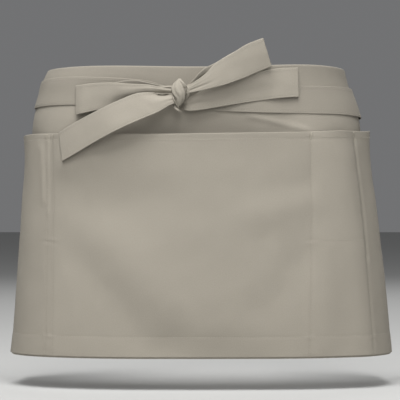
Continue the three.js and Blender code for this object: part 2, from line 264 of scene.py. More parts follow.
TIE_RIGHT = table(
    TieStep,
    (0, 6, 3.9, 31),
    (12, 3, 3.9, 31),
    (42, -16.5, 3.9, 31),
    (72, -16.5, 6.4, 31),
    (104, -12, 6.4, 31),
    (126, -11, 6.6, 32),
    (148, -10, 5.4, 33),
    (170, -8.3, 3.2, 32),
    (190, -8.4, 2.7, 31),
    (214, -7.4, 2.7, 31),
    (232, -6.5, 2.8, 28),
    (241, -5.5, 3.8, 22),
    (248, -5, 5.6, 14),
)

TAIL_LEFT = table(
    BowStep,
    (-19.0, -8.4, 7.8, -8, 17.6, 0.25),
    (-29.3, -9.4, 12.8, -10, 20.4, 0.2, -3),
    (-38.8, -11.4, 19.2, -14, 23.4, 0.1, -6),
    (-50.5, -13.8, 25.4, -20, 26.2, 0.05, -7),
    (-64.4, -17.7, 28.9, -25, 28.0, 0.0, -10),
    (-94.2, -30.6, 29.5, -28, 26.6, 0.0, -15),
    (-124.8, -46.0, 30.5, -28, 17.0, 0.0, -17),
    (-152.7, -61.6, 32.5, -8, 9.2, 0.0, -13),
)

TAIL_RIGHT = table(
    BowStep,
    (-15.4, -12.0, 13.5, 5, 8.6, 0.4),
    (-6.5, -11.8, 19.9, 3, 8.4, 0.3),
    (9.8, -7.6, 25.0, 0, 7.2, 0.15),
    (30.5, -2.4, 28.0, -2, 6.6, 0.05),
    (52.9, 2.8, 31.0, -2, 6.4, 0.0, 7),
    (75.4, 6.9, 32.5, -2, 6.2, 0.0, 8),
    (96.9, 9.9, 33.0, -2, 5.4, 0.0, -3),
    (116.0, 11.2, 32.8, -1, 5.6, 0.0, -2),
)

LOOP_LEFT = table(
    BowStep,
    (-19.0, -0.8, 5.6, 0, 14.8, 0.4),
    (-28.3, -0.2, 5.4, 0, 15.4, 0.4),
    (-39.4, 0.4, 7.2, 0, 17.0, 0.35),
    (-52.2, 0.4, 12.8, 5, 18.8, 0.3),
    (-74.1, -2.5, 21.0, 6, 18.4, 0.15),
    (-96.7, -4.2, 27.9, 5, 14.2, 0.0),
    (-116.1, -6.1, 31.0, 0, 10.2, 0.0),
    (-129.4, -8.0, 32.2, -1, 9.2, 0.0),
    (-135.1, -9.0, 32.5, -1, 6.8, 0.0),
    (-129.8, -8.2, 31.2, 0, 4.8, 0.0),
    (-116.5, -6.4, 29.0, 0, 4.6, 0.0),
    (-94.3, -3.4, 26.0, 2, 6.2, 0.0, 4),
    (-71.6, 0.9, 23.0, 3, 9.2, 0.1, 20),
    (-51.3, 1.1, 15.7, 4, 10.0, 0.4, 26),
    (-37.9, 2.6, 7.0, 5, 10.4, 0.6, 22),
    (-28.3, 3.4, 5.4, 0, 10.4, 0.6),
    (-19.0, 2.6, 5.4, 0, 10.4, 0.6),
)

LOOP_RIGHT = table(
    BowStep,
    (-16.5, -0.4, 7.4, -8, 16.4, 0.5),
    (-8.7, 1.2, 6.8, -9, 17.0, 0.45),
    (1.7, 5.4, 11.2, -13, 18.4, 0.3, -6),
    (15.0, 11.4, 17.0, -22, 19.0, 0.12, -6),
    (29.4, 19.6, 26.2, -28, 17.8, 0.0, -3),
    (48.2, 28.7, 30.0, -28, 15.6, 0.0, 2),
    (63.9, 37.2, 32.5, -22, 13.8, 0.0, 3),
    (80.6, 43.9, 32.3, -17, 11.8, 0.0, 2),
    (63.0, 36.0, 31.6, -22, 9.2, 0.0),
    (45.6, 28.6, 29.0, -27, 9.0, 0.0),
    (27.5, 21.5, 22.4, -25, 9.6, 0.0, 5),
    (12.5, 15.5, 18.7, -25, 11.2, 0.2, 20),
    (0.8, 8.1, 12.1, -22, 11.6, 0.4, 22),
    (-8.7, 2.8, 7.4, -9, 12.0, 0.6),
    (-16.5, 0.2, 6.8, -9, 12.0, 0.6),
)

TAIL_LEFT_CREASES = table(
    BowCrease,
    (0.94, 1.7, 0.25, 1.0, 10.5),
    (0.40, 0.8, 0.07, 0.9, 0.3),
)
TAIL_RIGHT_CREASES = table(
    BowCrease,
    (0.68, 0.8, 0.06, 0.9, 0.6),
    (0.36, 0.9, 0.06, 1.1, 0.4),
    (0.20, 0.0, 0.34, 0.62, 6.5),
    (0.30, 4.6, 0.30, 0.8, 1.3),
)
LOOP_LEFT_CREASES = table(
    BowCrease,
    (0.10, 4.0, 0.26, 0.9, 6.5),
    (0.20, 1.6, 0.22, 1.3, 3.0),
)
LOOP_RIGHT_CREASES = table(
    BowCrease,
    (0.34, 2.0, 0.09, 1.2, 0.35),
    (0.66, 2.2, 0.08, 0.9, 0.25),
    (0.55, 11.6, 0.20, 0.9, 4.0),
)

KNOT_WRAP = table(
    RollStep,
    (-17.6, 13.8, 14.6, 1.4, 1.4),
    (-17.6, 10.0, 15.9, 4.6, 3.8),
    (-18.0, 5.4, 17.1, 7.2, 5.2),
    (-18.4, 0.9, 17.9, 8.0, 5.6),
    (-17.9, -3.5, 18.3, 7.3, 5.6),
    (-17.4, -8.0, 18.1, 5.8, 5.0),
    (-18.2, -12.5, 17.4, 3.8, 3.8),
    (-19.0, -16.6, 16.4, 1.5, 2.2),
    (-18.8, -19.0, 15.6, 0.5, 0.6),
)
KNOT_TOP_ROLL = table(
    RollStep,
    (-18.2, 13.2, 16.0, 0.4, 0.5),
    (-16.6, 11.0, 17.8, 1.7, 1.9),
    (-13.6, 7.6, 19.6, 2.1, 2.3),
    (-10.8, 4.4, 18.8, 1.8, 2.1),
    (-9.4, 2.4, 16.6, 0.5, 0.6),
)
KNOT_SIDE_ROLL = table(
    RollStep,
    (-10.6, 6.0, 14.6, 0.8, 0.9),
    (-8.8, 3.1, 15.2, 2.5, 2.9),
    (-7.8, -0.2, 15.0, 2.7, 3.3),
    (-8.6, -4.2, 13.8, 2.3, 2.8),
    (-10.6, -7.6, 12.2, 1.2, 1.6),
    (-11.8, -9.2, 11.4, 0.5, 0.6),
)
KNOT_FOOT_LIP = table(
    RollStep,
    (-25.0, -15.2, 13.0, 0.4, 0.5),
    (-22.6, -18.4, 15.4, 1.5, 1.8),
    (-18.8, -21.8, 15.6, 1.6, 1.9),
    (-15.2, -23.2, 13.0, 0.5, 0.6),
)
KNOT_LEFT_LIP = table(
    RollStep,
    (-25.4, -3.2, 17.6, 0.4, 0.5),
    (-24.6, -7.2, 19.6, 1.0, 1.5),
    (-22.8, -12.0, 19.4, 1.0, 1.5),
    (-20.6, -16.4, 17.0, 0.4, 0.5),
)
KNOT_HEART = table(
    RollStep,
    (-17.0, 10.0, 11.0, 0.8, 0.8),
    (-17.0, 6.0, 11.4, 6.0, 5.0),
    (-17.0, -2.0, 11.0, 7.8, 6.0),
    (-19.0, -8.5, 10.4, 4.6, 4.6),
    (-20.6, -14.0, 9.6, 2.2, 2.6),
    (-21.2, -17.6, 9.2, 0.5, 0.6),
)


class Heading(Enum):
    """The way a tie or bow piece runs as seen from outside the apron."""

    RIGHTWARDS = 1.0
    LEFTWARDS = -1.0


class Track:
    """The rows of a table, read at any value of a key on a smooth curve through them."""

    def __init__(self, rows: Sequence[object], key: str | None = None) -> None:
        """Keeps the columns of a table.

        Args:
            rows: Rows of one frozen dataclass.
            key: The column that is looked up, or None to count the rows from 0.
        """
        self.columns = {
            part.name: np.array([getattr(row, part.name) for row in rows], float)
            for part in fields(rows[0])
        }
        self.key = self.columns[key] if key else np.arange(len(rows), dtype=float)

    def at(self, value: np.ndarray) -> dict[str, np.ndarray]:
        """Reads every column.

        Args:
            value: Values of the key.

        Returns:
            An array for each column.
        """
        key, last = self.key, len(self.key) - 1
        start = np.clip(np.searchsorted(key, value, side="left") - 1, 0, last - 1)
        before, after = np.maximum(start - 1, 0), np.minimum(start + 2, last)
        span = key[start + 1] - key[start]
        share = np.clip((value - key[start]) / span, 0.0, 1.0)
        row = {}
        for name, column in self.columns.items():
            rise_from, run_from = column[start + 1] - column[before], key[start + 1] - key[before]
            rise_to, run_to = column[after] - column[start], key[after] - key[start]
            slope_from, slope_to = rise_from / run_from * span, rise_to / run_to * span
            rise = column[start + 1] - column[start]
            bend = share * (1.0 - share) * (slope_from * (1.0 - share) - slope_to * share)
            row[name] = column[start] + rise * share * share * (3.0 - 2.0 * share) + bend
        return row


def bump(distance: np.ndarray, spread: float) -> np.ndarray:
    """A rounded ridge of height 1 over distance 0."""
    return np.exp(-((distance / spread) ** 2))


def step_up(value: np.ndarray, edge: float, width: float) -> np.ndarray:
    """A soft step from 0 to 1 across an edge."""
    return 0.5 + 0.5 * np.tanh((value - edge) / width)


def running(lengths: np.ndarray) -> np.ndarray:
    """Running total of lengths, from 0."""
    return np.concatenate(([0.0], np.cumsum(lengths)))


def unit(vectors: np.ndarray) -> np.ndarray:
    """Vectors on the last axis, brought to length 1."""
    return vectors / np.maximum(np.linalg.norm(vectors, axis=-1, keepdims=True), TINY)


def edge_lift(crests: Sequence[Crest], arc: np.ndarray) -> np.ndarray:
    """Upward shift of an edge at an arc."""
    return sum(crest.lift * bump(arc - crest.arc, crest.spread) for crest in crests)


def fold_height(folds: Sequence[Fold], arc: np.ndarray, drop: np.ndarray) -> np.ndarray:
    """Height of soft folds.

    Args:
        folds: The crests and valleys.
        arc: Arcs along the cloth.
        drop: Drops below the top fold.

    Returns:
        The heights added up.
    """
    total = np.zeros(np.broadcast(arc, drop).shape)
    for fold in folds:
        run_arc, run_drop = fold.to_arc - fold.from_arc, fold.to_drop - fold.from_drop
        near_arc, near_drop = arc - fold.from_arc, drop - fold.from_drop
        travelled = near_arc * run_arc + near_drop * run_drop
        share = np.clip(travelled / (run_arc**2 + run_drop**2), 0.0, 1.0)
        away = np.hypot(near_arc - share * run_arc, near_drop - share * run_drop)
        total = total + fold.rise * bump(away, fold.spread)
    return total


def stations(
    start: float, stop: float, step: float, fine_at: Sequence[float], fine: float, reach: float
) -> np.ndarray:
    """Places along a cloth that crowd together at its edges and seams.

    Args:
        start: First place.
        stop: Last place.
        step: Usual distance between places.
        fine_at: Where the places crowd together.
        fine: Distance between places there.
        reach: How far from there the crowding lasts.

    Returns:
        Rising places from start to stop.
    """
    mark = 0.1 * fine
    ruler = np.linspace(start, stop, int((stop - start) / mark) + 2)
    spacing = np.full_like(ruler, step)
    for place in fine_at:
        spacing = np.minimum(spacing, step - (step - fine) * bump(ruler - place, reach))
    count = running(np.diff(ruler) * 0.5 * (1.0 / spacing[1:] + 1.0 / spacing[:-1]))
    even = np.linspace(0.0, count[-1], max(int(math.ceil(count[-1])), 2) + 1)
    return np.interp(even, count, ruler)


@dataclass(frozen=True)
class Ripples:
    """Low uneven waves that no two places of a cloth share, from a seeded sum of plane waves."""

    seed: int
    height: float
    short: float
    long: float
    count: int = 18

    def at(self, along: np.ndarray, down: np.ndarray) -> np.ndarray:
        """Height of the waves.

        Args:
            along: Lengths along the cloth.
            down: Lengths down the cloth.

        Returns:
            Heights that are mostly between minus and plus the height of the ripples.
        """
        chance = np.random.default_rng(self.seed)
        total = np.zeros(np.broadcast(along, down).shape)
        for _ in range(self.count):
            wave = FULL_TURN / chance.uniform(self.short, self.long)
            course = chance.uniform(0.0, math.pi)
            start = chance.uniform(0.0, FULL_TURN)
            run = math.cos(course) * along + math.sin(course) * down
            total = total + np.sin(wave * run + start)
        return self.height * total / math.sqrt(self.count)


@dataclass(frozen=True)
class Pull:
    """How a row of stitching draws cloth in: a narrow furrow with puckers on both sides of it."""

    furrow: float
    furrow_width: float
    pucker: float
    pucker_width: float

    def drawn(self, relief: np.ndarray, away: np.ndarray, wave: np.ndarray) -> np.ndarray:
        """Adds the furrow and the puckers of one row.

        Args:
            relief: The relief without them.
            away: Distances from the row.
            wave: Phases of the puckers.

        Returns:
            The relief with them.
        """
        furrow = self.furrow * bump(away, self.furrow_width)
        return relief - furrow + bump(away, self.pucker_width) * (self.pucker * np.sin(wave))


@dataclass(frozen=True)
class BodyForm:
    """The round form that the apron keeps, built from level sections."""

    top: float = 28.0
    squareness: float = 2.5
    longest_arc: int = 420
    lowest_drop: int = 332
    angle_count: int = 721
    angle_nudge: float = 0.002
    inset: float = 0.001
    side_limit: float = 0.999
    sections: Track = field(default_factory=lambda: Track(SECTIONS, "drop"))

    def __post_init__(self) -> None:
        """Works out the table of angles by arc and drop once."""
        angles = np.linspace(0.0, math.pi, self.angle_count)
        arcs = np.arange(self.longest_arc + 1.0)
        rows = []
        for drop in np.arange(self.lowest_drop + 1.0):
            x, y = self.outline(np.full_like(angles, drop), angles)
            rows.append(np.interp(arcs, running(np.hypot(np.diff(x), np.diff(y))), angles))
        object.__setattr__(self, "angle_table", np.array(rows))

    def outline(self, drop: np.ndarray, angle: np.ndarray) -> tuple[np.ndarray, np.ndarray]:
        """Point of the inner face of the skirt.

        Args:
            drop: Drops below the top fold.
            angle: Angles from the middle of the front, positive to the right.

        Returns:
            The x and y of each point.
        """
        row = self.sections.at(drop)
        depth = np.where(np.cos(angle) > 0.0, row["front_depth"], row["rear_depth"])
        across = (np.abs(np.sin(angle)) / row["half_width"]) ** self.squareness
        deep = (np.abs(np.cos(angle)) / depth) ** self.squareness
        reach = (across + deep) ** (-1.0 / self.squareness)
        return row["shift"] + reach * np.sin(angle), -reach * np.cos(angle)

    def point(self, drop: np.ndarray, angle: np.ndarray, out: np.ndarray) -> np.ndarray:
        """Point at a drop and an angle, moved straight out from the skirt.

        Args:
            drop: Drops below the top fold.
            angle: Angles from the middle of the front.
            out: Distances out from the inner face.

        Returns:
            Points in millimetres, with x, y and z on the last axis.
        """
        x, y = self.outline(drop, angle)
        ahead = self.outline(drop, angle + self.angle_nudge)
        behind = self.outline(drop, angle - self.angle_nudge)
        along = np.stack((ahead[0] - behind[0], ahead[1] - behind[1]))
        along = along / np.hypot(along[0], along[1])
        z = self.top - drop + 0.0 * x
        return np.stack((x + along[1] * out, y - along[0] * out, z), axis=-1)

    def angle_at(self, arc: np.ndarray, drop: np.ndarray) -> np.ndarray:
        """Angle at which the cloth is a given arc away from the middle of the front.

        Args:
            arc: Arcs along the cloth.
            drop: Drops below the top fold.

        Returns:
            Angles with the sign of the arcs.
        """
        along = np.clip(np.abs(arc), 0.0, self.longest_arc - self.inset)
        down = np.clip(drop, 0.0, self.lowest_drop - self.inset)
        row, column = down.astype(int), along.astype(int)
        s, t = down - row, along - column
        grid = self.angle_table
        upper = grid[row, column] * (1.0 - t) + grid[row, column + 1] * t
        lower = grid[row + 1, column] * (1.0 - t) + grid[row + 1, column + 1] * t
        return np.sign(arc) * (upper * (1.0 - s) + lower * s)

    def front(self, x: np.ndarray, z: np.ndarray) -> np.ndarray:
        """The y of the front face of the skirt at a place seen from the front."""
        row = self.sections.at(np.maximum(self.top - z, 0.0))
        share = np.minimum(np.abs(x - row["shift"]) / row["half_width"], self.side_limit)
        return -row["front_depth"] * (1.0 - share**self.squareness) ** (1.0 / self.squareness)


class ClothSurface:
    """A sheet of cloth, placed by how far down and along a point of it is."""

    heading = Heading.RIGHTWARDS
    nudge_down = 0.2
    nudge_along = 0.2

    def middle(self, down: np.ndarray, along: np.ndarray) -> np.ndarray:
        """Middle of the cloth, with x, y and z on the last axis."""
        raise NotImplementedError

    def outward(self, down: np.ndarray, along: np.ndarray) -> np.ndarray:
        """Direction square to the cloth on its outer side.

        Args:
            down: Places down the cloth.
            along: Places along the cloth.

        Returns:
            Unit vectors on the last axis.
        """
        below, above = down + self.nudge_down, down - self.nudge_down
        ahead, behind = along + self.nudge_along, along - self.nudge_along
        fall = self.middle(below, along) - self.middle(above, along)
        run = self.middle(down, ahead) - self.middle(down, behind)
        return unit(np.cross(fall, run) * self.heading.value)

    def lifted(self, down: np.ndarray, along: np.ndarray, lift: float) -> np.ndarray:
        """Points at a distance outwards from the middle of the cloth."""
        return self.middle(down, along) + self.outward(down, along) * lift


@dataclass
class HangingCloth(ClothSurface):
    """Cloth of the skirt, which hangs in the round form with its soft folds."""

    form: BodyForm
    out: float = 0.5
    band_depth: float = 40.0
    loose_below: float = 26.0
    loose_ease: float = 12.0
    sway: Ripples = Ripples(seed=3, height=0.30, short=55, long=150)
    rumple: Ripples = Ripples(seed=5, height=0.10, short=16, long=42)

    def relief(self, arc: np.ndarray, drop: np.ndarray) -> np.ndarray:
        """Distance that a piece stands out beyond the layer below it."""
        return np.zeros(np.broadcast(arc, drop).shape)

    def crest(self, arc: np.ndarray, drop: np.ndarray) -> np.ndarray:
        """Upward shift of the top of the apron, gone at the lower edge of the waistband."""
        return edge_lift(CRESTS, arc) * np.clip(1.0 - drop / self.band_depth, 0.0, 1.0)

    def place(self, drop: np.ndarray, arc: np.ndarray, out: np.ndarray) -> np.ndarray:
        """Point of the hanging cloth.

        Args:
            drop: Drops below the top fold.
            arc: Arcs along the cloth.
            out: Distances out from the inner face of the skirt.

        Returns:
            Points in millimetres.
        """
        drop, arc = np.broadcast_arrays(np.asarray(drop, float), np.asarray(arc, float))
        loose = step_up(drop, self.band_depth + self.loose_below, self.loose_ease)
        waves = self.sway.at(arc, drop) + self.rumple.at(arc, drop)
        soft = fold_height(FOLDS, arc, drop) + loose * waves
        point = self.form.point(drop, self.form.angle_at(arc, drop), out + soft)
        point[..., 2] += self.crest(arc, drop)
        return point

    def middle(self, down: np.ndarray, along: np.ndarray) -> np.ndarray:
        """Middle of the cloth at a drop and an arc."""
        return self.place(down, along, self.out + self.relief(along, down))


@dataclass
class SkirtCloth(HangingCloth):
    """The skirt panel, with a hem along both sides."""

    half_arc: float = 360.0
    length: float = 327.0
    hem: float = 12.0
    furrow: float = 0.25
    furrow_width: float = 1.4

    def relief(self, arc: np.ndarray, drop: np.ndarray) -> np.ndarray:
        """Creases below the belt and the furrow of each hem's stitching."""
        side = np.abs(arc) - (self.half_arc - self.hem)
        furrow = -self.furrow * bump(side, self.furrow_width)
        return fold_height(CREASES, arc, drop) + furrow


@dataclass
class PocketCloth(HangingCloth):
    """The pocket panel, which stands off the skirt between its rows of stitching."""

    half_arc: float = 315.0
    top: float = POCKET_MOUTH
    foot: float = POCKET_FOOT
    base: float = 1.75
    gape_fall: float = 0.9
    flare: float = 0.17
    flare_reach: float = 12.0
    mouth_hem: float = 7.0
    mouth_rise: float = 0.06
    mouth_ease: float = 0.9
    hem_drop: float = 303.0
    hem_rise: float = 0.20
    hem_ease: float = 1.0
    rows: tuple[SeamRow, ...] = (LEFT_OUTER_ROW, LEFT_INNER_ROW, MIDDLE_ROW, RIGHT_ROW)
    row_pull: Pull = Pull(0.18, 1.5, 0.15, 7.0)
    row_pitch: float = 7.0
    row_shift: float = 1.7
    row_drift: float = 0.02
    hem_pull: Pull = Pull(0.12, 1.3, 0.08, 5.0)
    hem_pitch: float = 8.3
    hem_drift: float = 0.013
    hem_drift_length: float = 37.0

    @property
    def mouth_row(self) -> float:
        """Drop of the stitching along the mouth."""
        return self.top + self.mouth_hem

    def gape(self, arc: np.ndarray, drop: np.ndarray) -> np.ndarray:
        """Distance that the panel stands off the skirt, closed at each row of stitching."""
        total = np.zeros(np.broadcast(arc, drop).shape)
        for pocket in POCKETS:
            left, right = pocket.left.arc_at(drop), pocket.right.arc_at(drop)
            across = np.clip((arc - left) / (right - left), 0.0, 1.0)
            down = np.clip((drop - self.top) / (pocket.foot - self.top), 0.0, 1.0)
            opening = pocket.gape * np.sin(math.pi * across) ** pocket.ease
            total = total + opening * (1.0 - down) ** self.gape_fall
        return total

    def relief(self, arc: np.ndarray, drop: np.ndarray) -> np.ndarray:
        """Gape of the mouths, the doubled cloth of the hems and the pull of the stitching."""
        foot_hem = self.hem_rise * step_up(drop, self.hem_drop, self.hem_ease)
        mouth_hem = self.mouth_rise * step_up(-drop, -self.mouth_row, self.mouth_ease)
        doubled = foot_hem + mouth_hem
        pull = np.zeros(np.broadcast(arc, drop).shape)
        for number, row in enumerate(self.rows):
            wave = FULL_TURN * drop / (self.row_pitch + number) + self.row_shift * number
            wave = wave + self.row_drift * drop
            pull = self.row_pull.drawn(pull, arc - row.arc_at(drop), wave)
        drift = self.hem_drift * arc * np.sin(arc / self.hem_drift_length)
        for row_drop in (self.hem_drop, self.mouth_row):
            wave = FULL_TURN * arc / self.hem_pitch + drift
            pull = self.hem_pull.drawn(pull, drop - row_drop, wave)
        gape = self.gape(arc, drop)
        flare = self.flare * gape * np.exp((self.top - drop) / self.flare_reach)
        return self.base + gape + flare + doubled + pull

    def middle(self, down: np.ndarray, along: np.ndarray) -> np.ndarray:
        """Middle of the panel's cloth, with its mouth a little higher or lower in places."""
        fade = np.clip((self.foot - down) / (self.foot - self.top), 0.0, 1.0)
        return super().middle(down - edge_lift(MOUTH_LIFTS, along) * fade, along)


@dataclass
class BandCloth(HangingCloth):
    """The waistband: one strip up the inside, over the top edge of the skirt and down again."""

    half_arc: float = 360.0
    turn: float = 0.85

    @property
    def wall(self) -> float:
        """Height of each wall below the fold."""
        return self.band_depth - self.turn - self.out

    @property
    def strip(self) -> float:
        """Width of the strip before it is folded."""
        return 2.0 * self.wall + math.pi * self.turn

    def middle(self, down: np.ndarray, along: np.ndarray) -> np.ndarray:
        """Middle of the folded strip, from the inner edge over the top to the outer edge."""
        down, along = np.broadcast_arrays(np.asarray(down, float), np.asarray(along, float))
        bend = np.clip((down - self.wall) / (math.pi * self.turn), 0.0, 1.0) * math.pi
        inside = np.maximum(self.wall - down, 0.0)
        outside = np.maximum(down - self.strip + self.wall, 0.0)
        drop = self.turn + self.out + inside + outside - self.turn * np.sin(bend)
        out = self.out - self.turn * np.cos(bend)
        return self.place(drop, along, out)


@dataclass
class RibbonCloth(ClothSurface):
    """A long strip that follows the rows of a table and is gathered at the knot."""

    form: BodyForm
    route: Track
    heading: Heading
    cut_width: float = 31.0
    edge_row: float = 2.6

    @property
    def last(self) -> float:
        """The key of the last row."""
        return float(self.route.key[-1])

    @property
    def edge_rows(self) -> tuple[float, float]:
        """Distances of the two rows of edge stitching below the upper edge."""
        return self.edge_row, self.cut_width - self.edge_row


@dataclass
class TieCloth(RibbonCloth):
    """A tie that lies flat round the waist, at a distance down and an angle travelled."""

    root_angle: float = 122.0
    ease: float = 0.75
    tuck: float = 0.45
    tuck_at: float = 1.5
    band_foot: float = -13.0
    pleat_depth: float = 0.5
    pleat_count: float = 2.5
    degree_length: float = 2.6
    wave: Ripples = Ripples(seed=11, height=0.06, short=18, long=70)
    nudge_along: float = 0.1

    def middle(self, down: np.ndarray, along: np.ndarray) -> np.ndarray:
        """Middle of the tie at a distance below its upper edge and an angle travelled."""
        down, along = np.broadcast_arrays(np.asarray(down, float), np.asarray(along, float))
        row = self.route.at(along)
        across = down / self.cut_width
        angle = np.radians(self.heading.value * (self.root_angle + along))
        z = row["z"] + (0.5 - across) * row["width"]
        gather = 1.0 - np.clip(row["width"] / self.cut_width, 0.0, 1.0)
        pleat = self.pleat_depth * gather * np.cos(FULL_TURN * self.pleat_count * across)
        tuck = self.tuck * step_up(self.band_foot - z, self.tuck_at, self.tuck_at)
        wave = self.wave.at(along * self.degree_length, down)
        out = row["out"] - self.ease - tuck + pleat + wave
        return self.form.point(self.form.top - z, angle, out)


@dataclass
class BowCloth(RibbonCloth):
    """A loop or a tail of the bow, at a distance down and a count of rows from the knot."""

    creases: Sequence[BowCrease] = ()
    cup: float = 0.7
    cup_loss: float = 0.5
    cup_level: float = 0.4
    pleat_count: float = 1.5
    crinkle: float = 0.35
    crinkle_count: float = 4.0
    crinkle_start: float = 0.8
    row_length: float = 15.0
    wave: Ripples = Ripples(seed=17, height=0.18, short=14, long=60)
    nudge_along: float = 0.004

    def middle(self, down: np.ndarray, along: np.ndarray) -> np.ndarray:
        """Middle of the piece at a distance below its upper edge and a count of rows."""
        down, along = np.broadcast_arrays(np.asarray(down, float), np.asarray(along, float))
        row = self.route.at(along)
        across = 1.0 - down / self.cut_width
        lean = np.radians(row["lean"])
        reach = (across - 0.5) * row["width"]
        x = row["x"] + np.sin(lean) * reach
        z = row["z"] + np.cos(lean) * reach
        crinkle = np.cos(FULL_TURN * self.crinkle_count * across + self.crinkle_start)
        pleats = np.cos(FULL_TURN * self.pleat_count * across) + self.crinkle * crinkle
        gather = row["pleat"] * pleats
        for crease in self.creases:
            near = bump(along - crease.step, crease.reach)
            gather = gather - crease.depth * near * bump(across - crease.across, crease.spread)
        cup = self.cup * (1.0 - self.cup_loss * np.clip(row["pleat"], 0.0, 1.0))
        hollow = cup * ((2.0 * across - 1.0) ** 2 - self.cup_level)
        tilt = np.tan(np.radians(row["tilt"])) * reach
        wave = self.wave.at(along * self.row_length, down)
        front = row["front"] + tilt + gather - hollow + wave
        return np.stack((x, self.form.front(x, z) - front, z), axis=-1)


class Amount:
    """A value of a shader that takes part in Python arithmetic."""

    def __init__(self, sheet: "NodeSheet", socket: bpy.types.NodeSocket) -> None:
        """Wraps an output socket of a material."""
        self.sheet = sheet
        self.socket = socket

    def maths(self, operation: str, *values: "Amount | float") -> "Amount":
        """Adds a Math node for an operation on values."""
        settings = {"operation": operation}
        node = self.sheet.node("ShaderNodeMath", settings, dict(enumerate(values)))
        return Amount(self.sheet, node.outputs[0])

    def __add__(self, other: "Amount | float") -> "Amount":
        """Sum."""
        return self.maths("ADD", self, other)

    def __radd__(self, other: float) -> "Amount":
        """Sum with a number first."""
        return self.maths("ADD", other, self)

    def __sub__(self, other: "Amount | float") -> "Amount":
        """Difference."""
        return self.maths("SUBTRACT", self, other)

    def __rsub__(self, other: float) -> "Amount":
        """Difference with a number first."""
        return self.maths("SUBTRACT", other, self)

    def __mul__(self, other: "Amount | float") -> "Amount":
        """Product."""
        return self.maths("MULTIPLY", self, other)

    def __rmul__(self, other: float) -> "Amount":
        """Product with a number first."""
        return self.maths("MULTIPLY", other, self)

    def sine(self) -> "Amount":
        """Sine of the value."""
        return self.maths("SINE", self)


class NodeBoard:
    """A tree of nodes that is filled one node at a time."""

    def __init__(self, tree: bpy.types.NodeTree) -> None:
        """Wraps a tree."""
        self.tree = tree

    def node(
        self,
        kind: str,
        settings: dict[str, object] | None = None,
        inputs: dict[str | int, object] | None = None,
    ) -> bpy.types.Node:
        """Adds a node.

        Args:
            kind: The node's type.
            settings: Its settings, which are set first.
            inputs: Values or links of its sockets, by name or number.

        Returns:
            The node.
        """
        node = self.tree.nodes.new(kind)
        for name, value in (settings or {}).items():
            setattr(node, name, value)
        for name, value in (inputs or {}).items():
            source = value.socket if isinstance(value, Amount) else value
            if isinstance(source, bpy.types.NodeSocket):
                self.tree.links.new(source, node.inputs[name])
            else:
                node.inputs[name].default_value = source
        return node


class NodeSheet(NodeBoard):
    """The nodes of one material."""

    def __init__(self, name: str) -> None:
        """Starts an empty material."""
        self.material = bpy.data.materials.new(name)
        self.material.use_nodes = True
        super().__init__(self.material.node_tree)
        self.tree.nodes.clear()

    def object_place(self) -> bpy.types.NodeSocket:
        """Adds the Object coordinates."""
        return self.node("ShaderNodeTexCoord").outputs["Object"]

    def attribute(self, name: str) -> Amount:
        """Adds a value that the mesh carries under a name."""
        node = self.node("ShaderNodeAttribute", {"attribute_name": name})
        return Amount(self, node.outputs["Fac"])

    def noise(self, place: bpy.types.NodeSocket, scale: float, detail: float) -> Amount:
        """Adds soft noise over some coordinates."""
        inputs = {"Vector": place, "Scale": scale, "Detail": detail}
        return Amount(self, self.node("ShaderNodeTexNoise", None, inputs).outputs["Fac"])

    def colours(self, share: Amount, deep: Colour, pale: Colour) -> bpy.types.NodeSocket:
        """Adds a mix from a deep to a pale colour."""
        inputs = {0: share, 6: deep, 7: pale}
        return self.node("ShaderNodeMix", {"data_type": "RGBA"}, inputs).outputs[2]

    def finish(self, inputs: dict[str, object]) -> bpy.types.Material:
        """Adds the shader with its inputs and joins it to the material's output."""
        shader = self.node("ShaderNodeBsdfPrincipled", None, inputs)
        self.node("ShaderNodeOutputMaterial", None, {"Surface": shader.outputs[0]})
        return self.material


